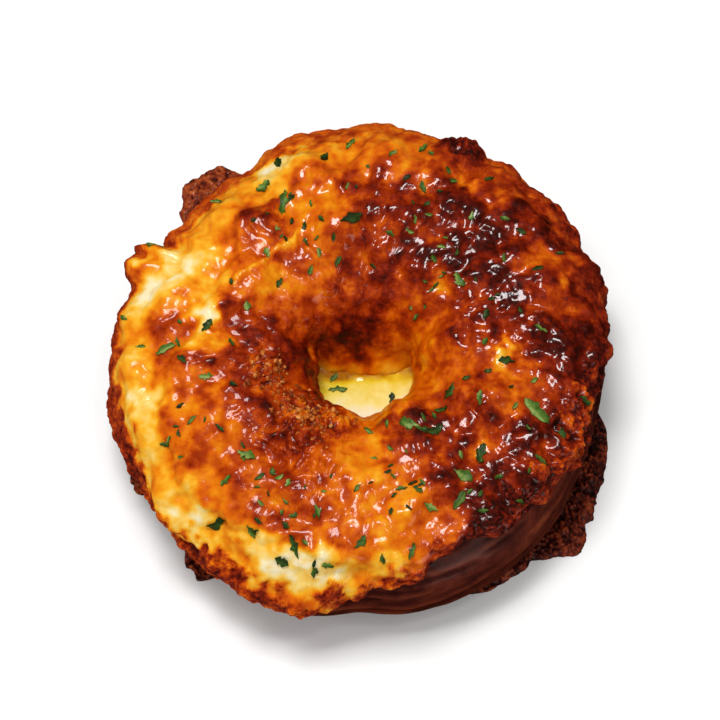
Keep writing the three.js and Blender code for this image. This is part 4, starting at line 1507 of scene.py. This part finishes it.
def stand(name, data, right, back, place):
    """A camera or lamp at a place in metres, with its own X to the right and its own Z to the back."""
    turned = np.eye(4)
    turned[:3] = np.stack([right, np.cross(back, right), back, place], 1)
    thing = bpy.data.objects.new(name, data)
    bpy.context.scene.collection.objects.link(thing)
    thing.matrix_world = Matrix(turned.tolist())
    return thing


rise = np.radians(CAMERA_ELEVATION)
right = np.array([1, 0, 0])
back = np.array([0, -np.cos(rise), np.sin(rise)])
eye = back * CAMERA_DISTANCE + np.cross(back, right) * CAMERA_UP + right * CAMERA_RIGHT
camera = bpy.data.cameras.new("camera")
camera.lens = CAMERA_LENS
camera.sensor_width = CAMERA_SENSOR
bpy.context.scene.camera = stand("camera", camera, right, back, eye / MM_PER_METRE + AXIS)
print("camera at", (eye / MM_PER_METRE + AXIS).round(3), "m")

# %% [markdown]
# ## Lights
# A soft box nearly overhead, a little behind and to the left, lights the bagel, and two small lamps beside
# it add white glints on wet cheese. At the front a warm lamp gives only gloss, for the sheen on the bread's
# side, and a weak one gives only fill, so that the pale cheese on the front slope isn't dull. One large lamp
# could do, but then the glints would all be alike.

# %% Soft boxes
LAMP_DISTANCE = 1.0
# direction from the ring, side in metres, and power
LAMPS = {
    "key": ((-0.12, 0.14, 1), 0.3, 5.8),
    "left_glint": ((-0.3, 0.0, 0.95), 0.1, 0.5),
    "right_glint": ((0.2, -0.1, 0.97), 0.1, 0.5),
    "front_sheen": ((0.55, -0.8, 0.14), 0.55, 2.4),
    "front_fill": ((-0.45, -0.75, 0.55), 0.6, 0.9),
}
WARM = (1.0, 0.76, 0.66)
BEHIND = (0, 1, 0.01)  # a lamp's side is square to this and to the way it faces


def soft_box(name, direction, size, power):
    """A square lamp in a direction from the ring, turned to face it."""
    lamp = bpy.data.lights.new(name, "AREA")
    lamp.shape = "SQUARE"
    lamp.size = size
    lamp.energy = power
    towards = np.array(direction) / np.linalg.norm(direction)
    side = np.cross(BEHIND, towards)
    side = side / np.linalg.norm(side)
    box = stand(name, lamp, side, towards, towards * LAMP_DISTANCE + AXIS)
    box.visible_camera = False
    return box


boxes = {name: soft_box(name, *settings) for name, settings in LAMPS.items()}
boxes["front_sheen"].data.color = WARM
boxes["front_sheen"].visible_diffuse = False
boxes["front_fill"].visible_glossy = False
print(len(boxes), "soft boxes")

# %% [markdown]
# ## World and floor
# A white world fills the shadows, and the floor is plain and pale. Neither shows in the gloss of the cheese,
# so that its dark parts stay dark. An enclosed room would bounce light in the same way, but would take longer
# to render.

# %% World and floor
WORLD_STRENGTH = 0.5
FLOOR_HALF = 3  # metres
FLOOR_COLOURS = [(0.0, (250, 250, 249)), (1.0, (254, 254, 253))]
FLOOR_BLOTCH = 400

world = bpy.data.worlds.new("white_room")
world.use_nodes = True
background = world.node_tree.nodes["Background"]
background.inputs["Color"].default_value = (1, 1, 1, 1)
background.inputs["Strength"].default_value = WORLD_STRENGTH
world.cycles_visibility.glossy = False
bpy.context.scene.world = world
bpy.context.scene.view_settings.view_transform = "Standard"

floor_finish = Finish("pale_floor", Roughness=0.8)
floor_finish.colours(FLOOR_COLOURS, floor_finish.noise(FLOOR_BLOTCH))
floor_mesh = bpy.data.meshes.new("floor")
floor_signs = [(-1, -1), (1, -1), (1, 1), (-1, 1)]
floor_mesh.from_pydata([(FLOOR_HALF * x, FLOOR_HALF * y, 0) for x, y in floor_signs], [], [(0, 1, 2, 3)])
floor_mesh.materials.append(floor_finish.material)
floor = bpy.data.objects.new("floor", floor_mesh)
bpy.context.scene.collection.objects.link(floor)
floor.visible_glossy = False
print("floor of", 2 * FLOOR_HALF, "m")
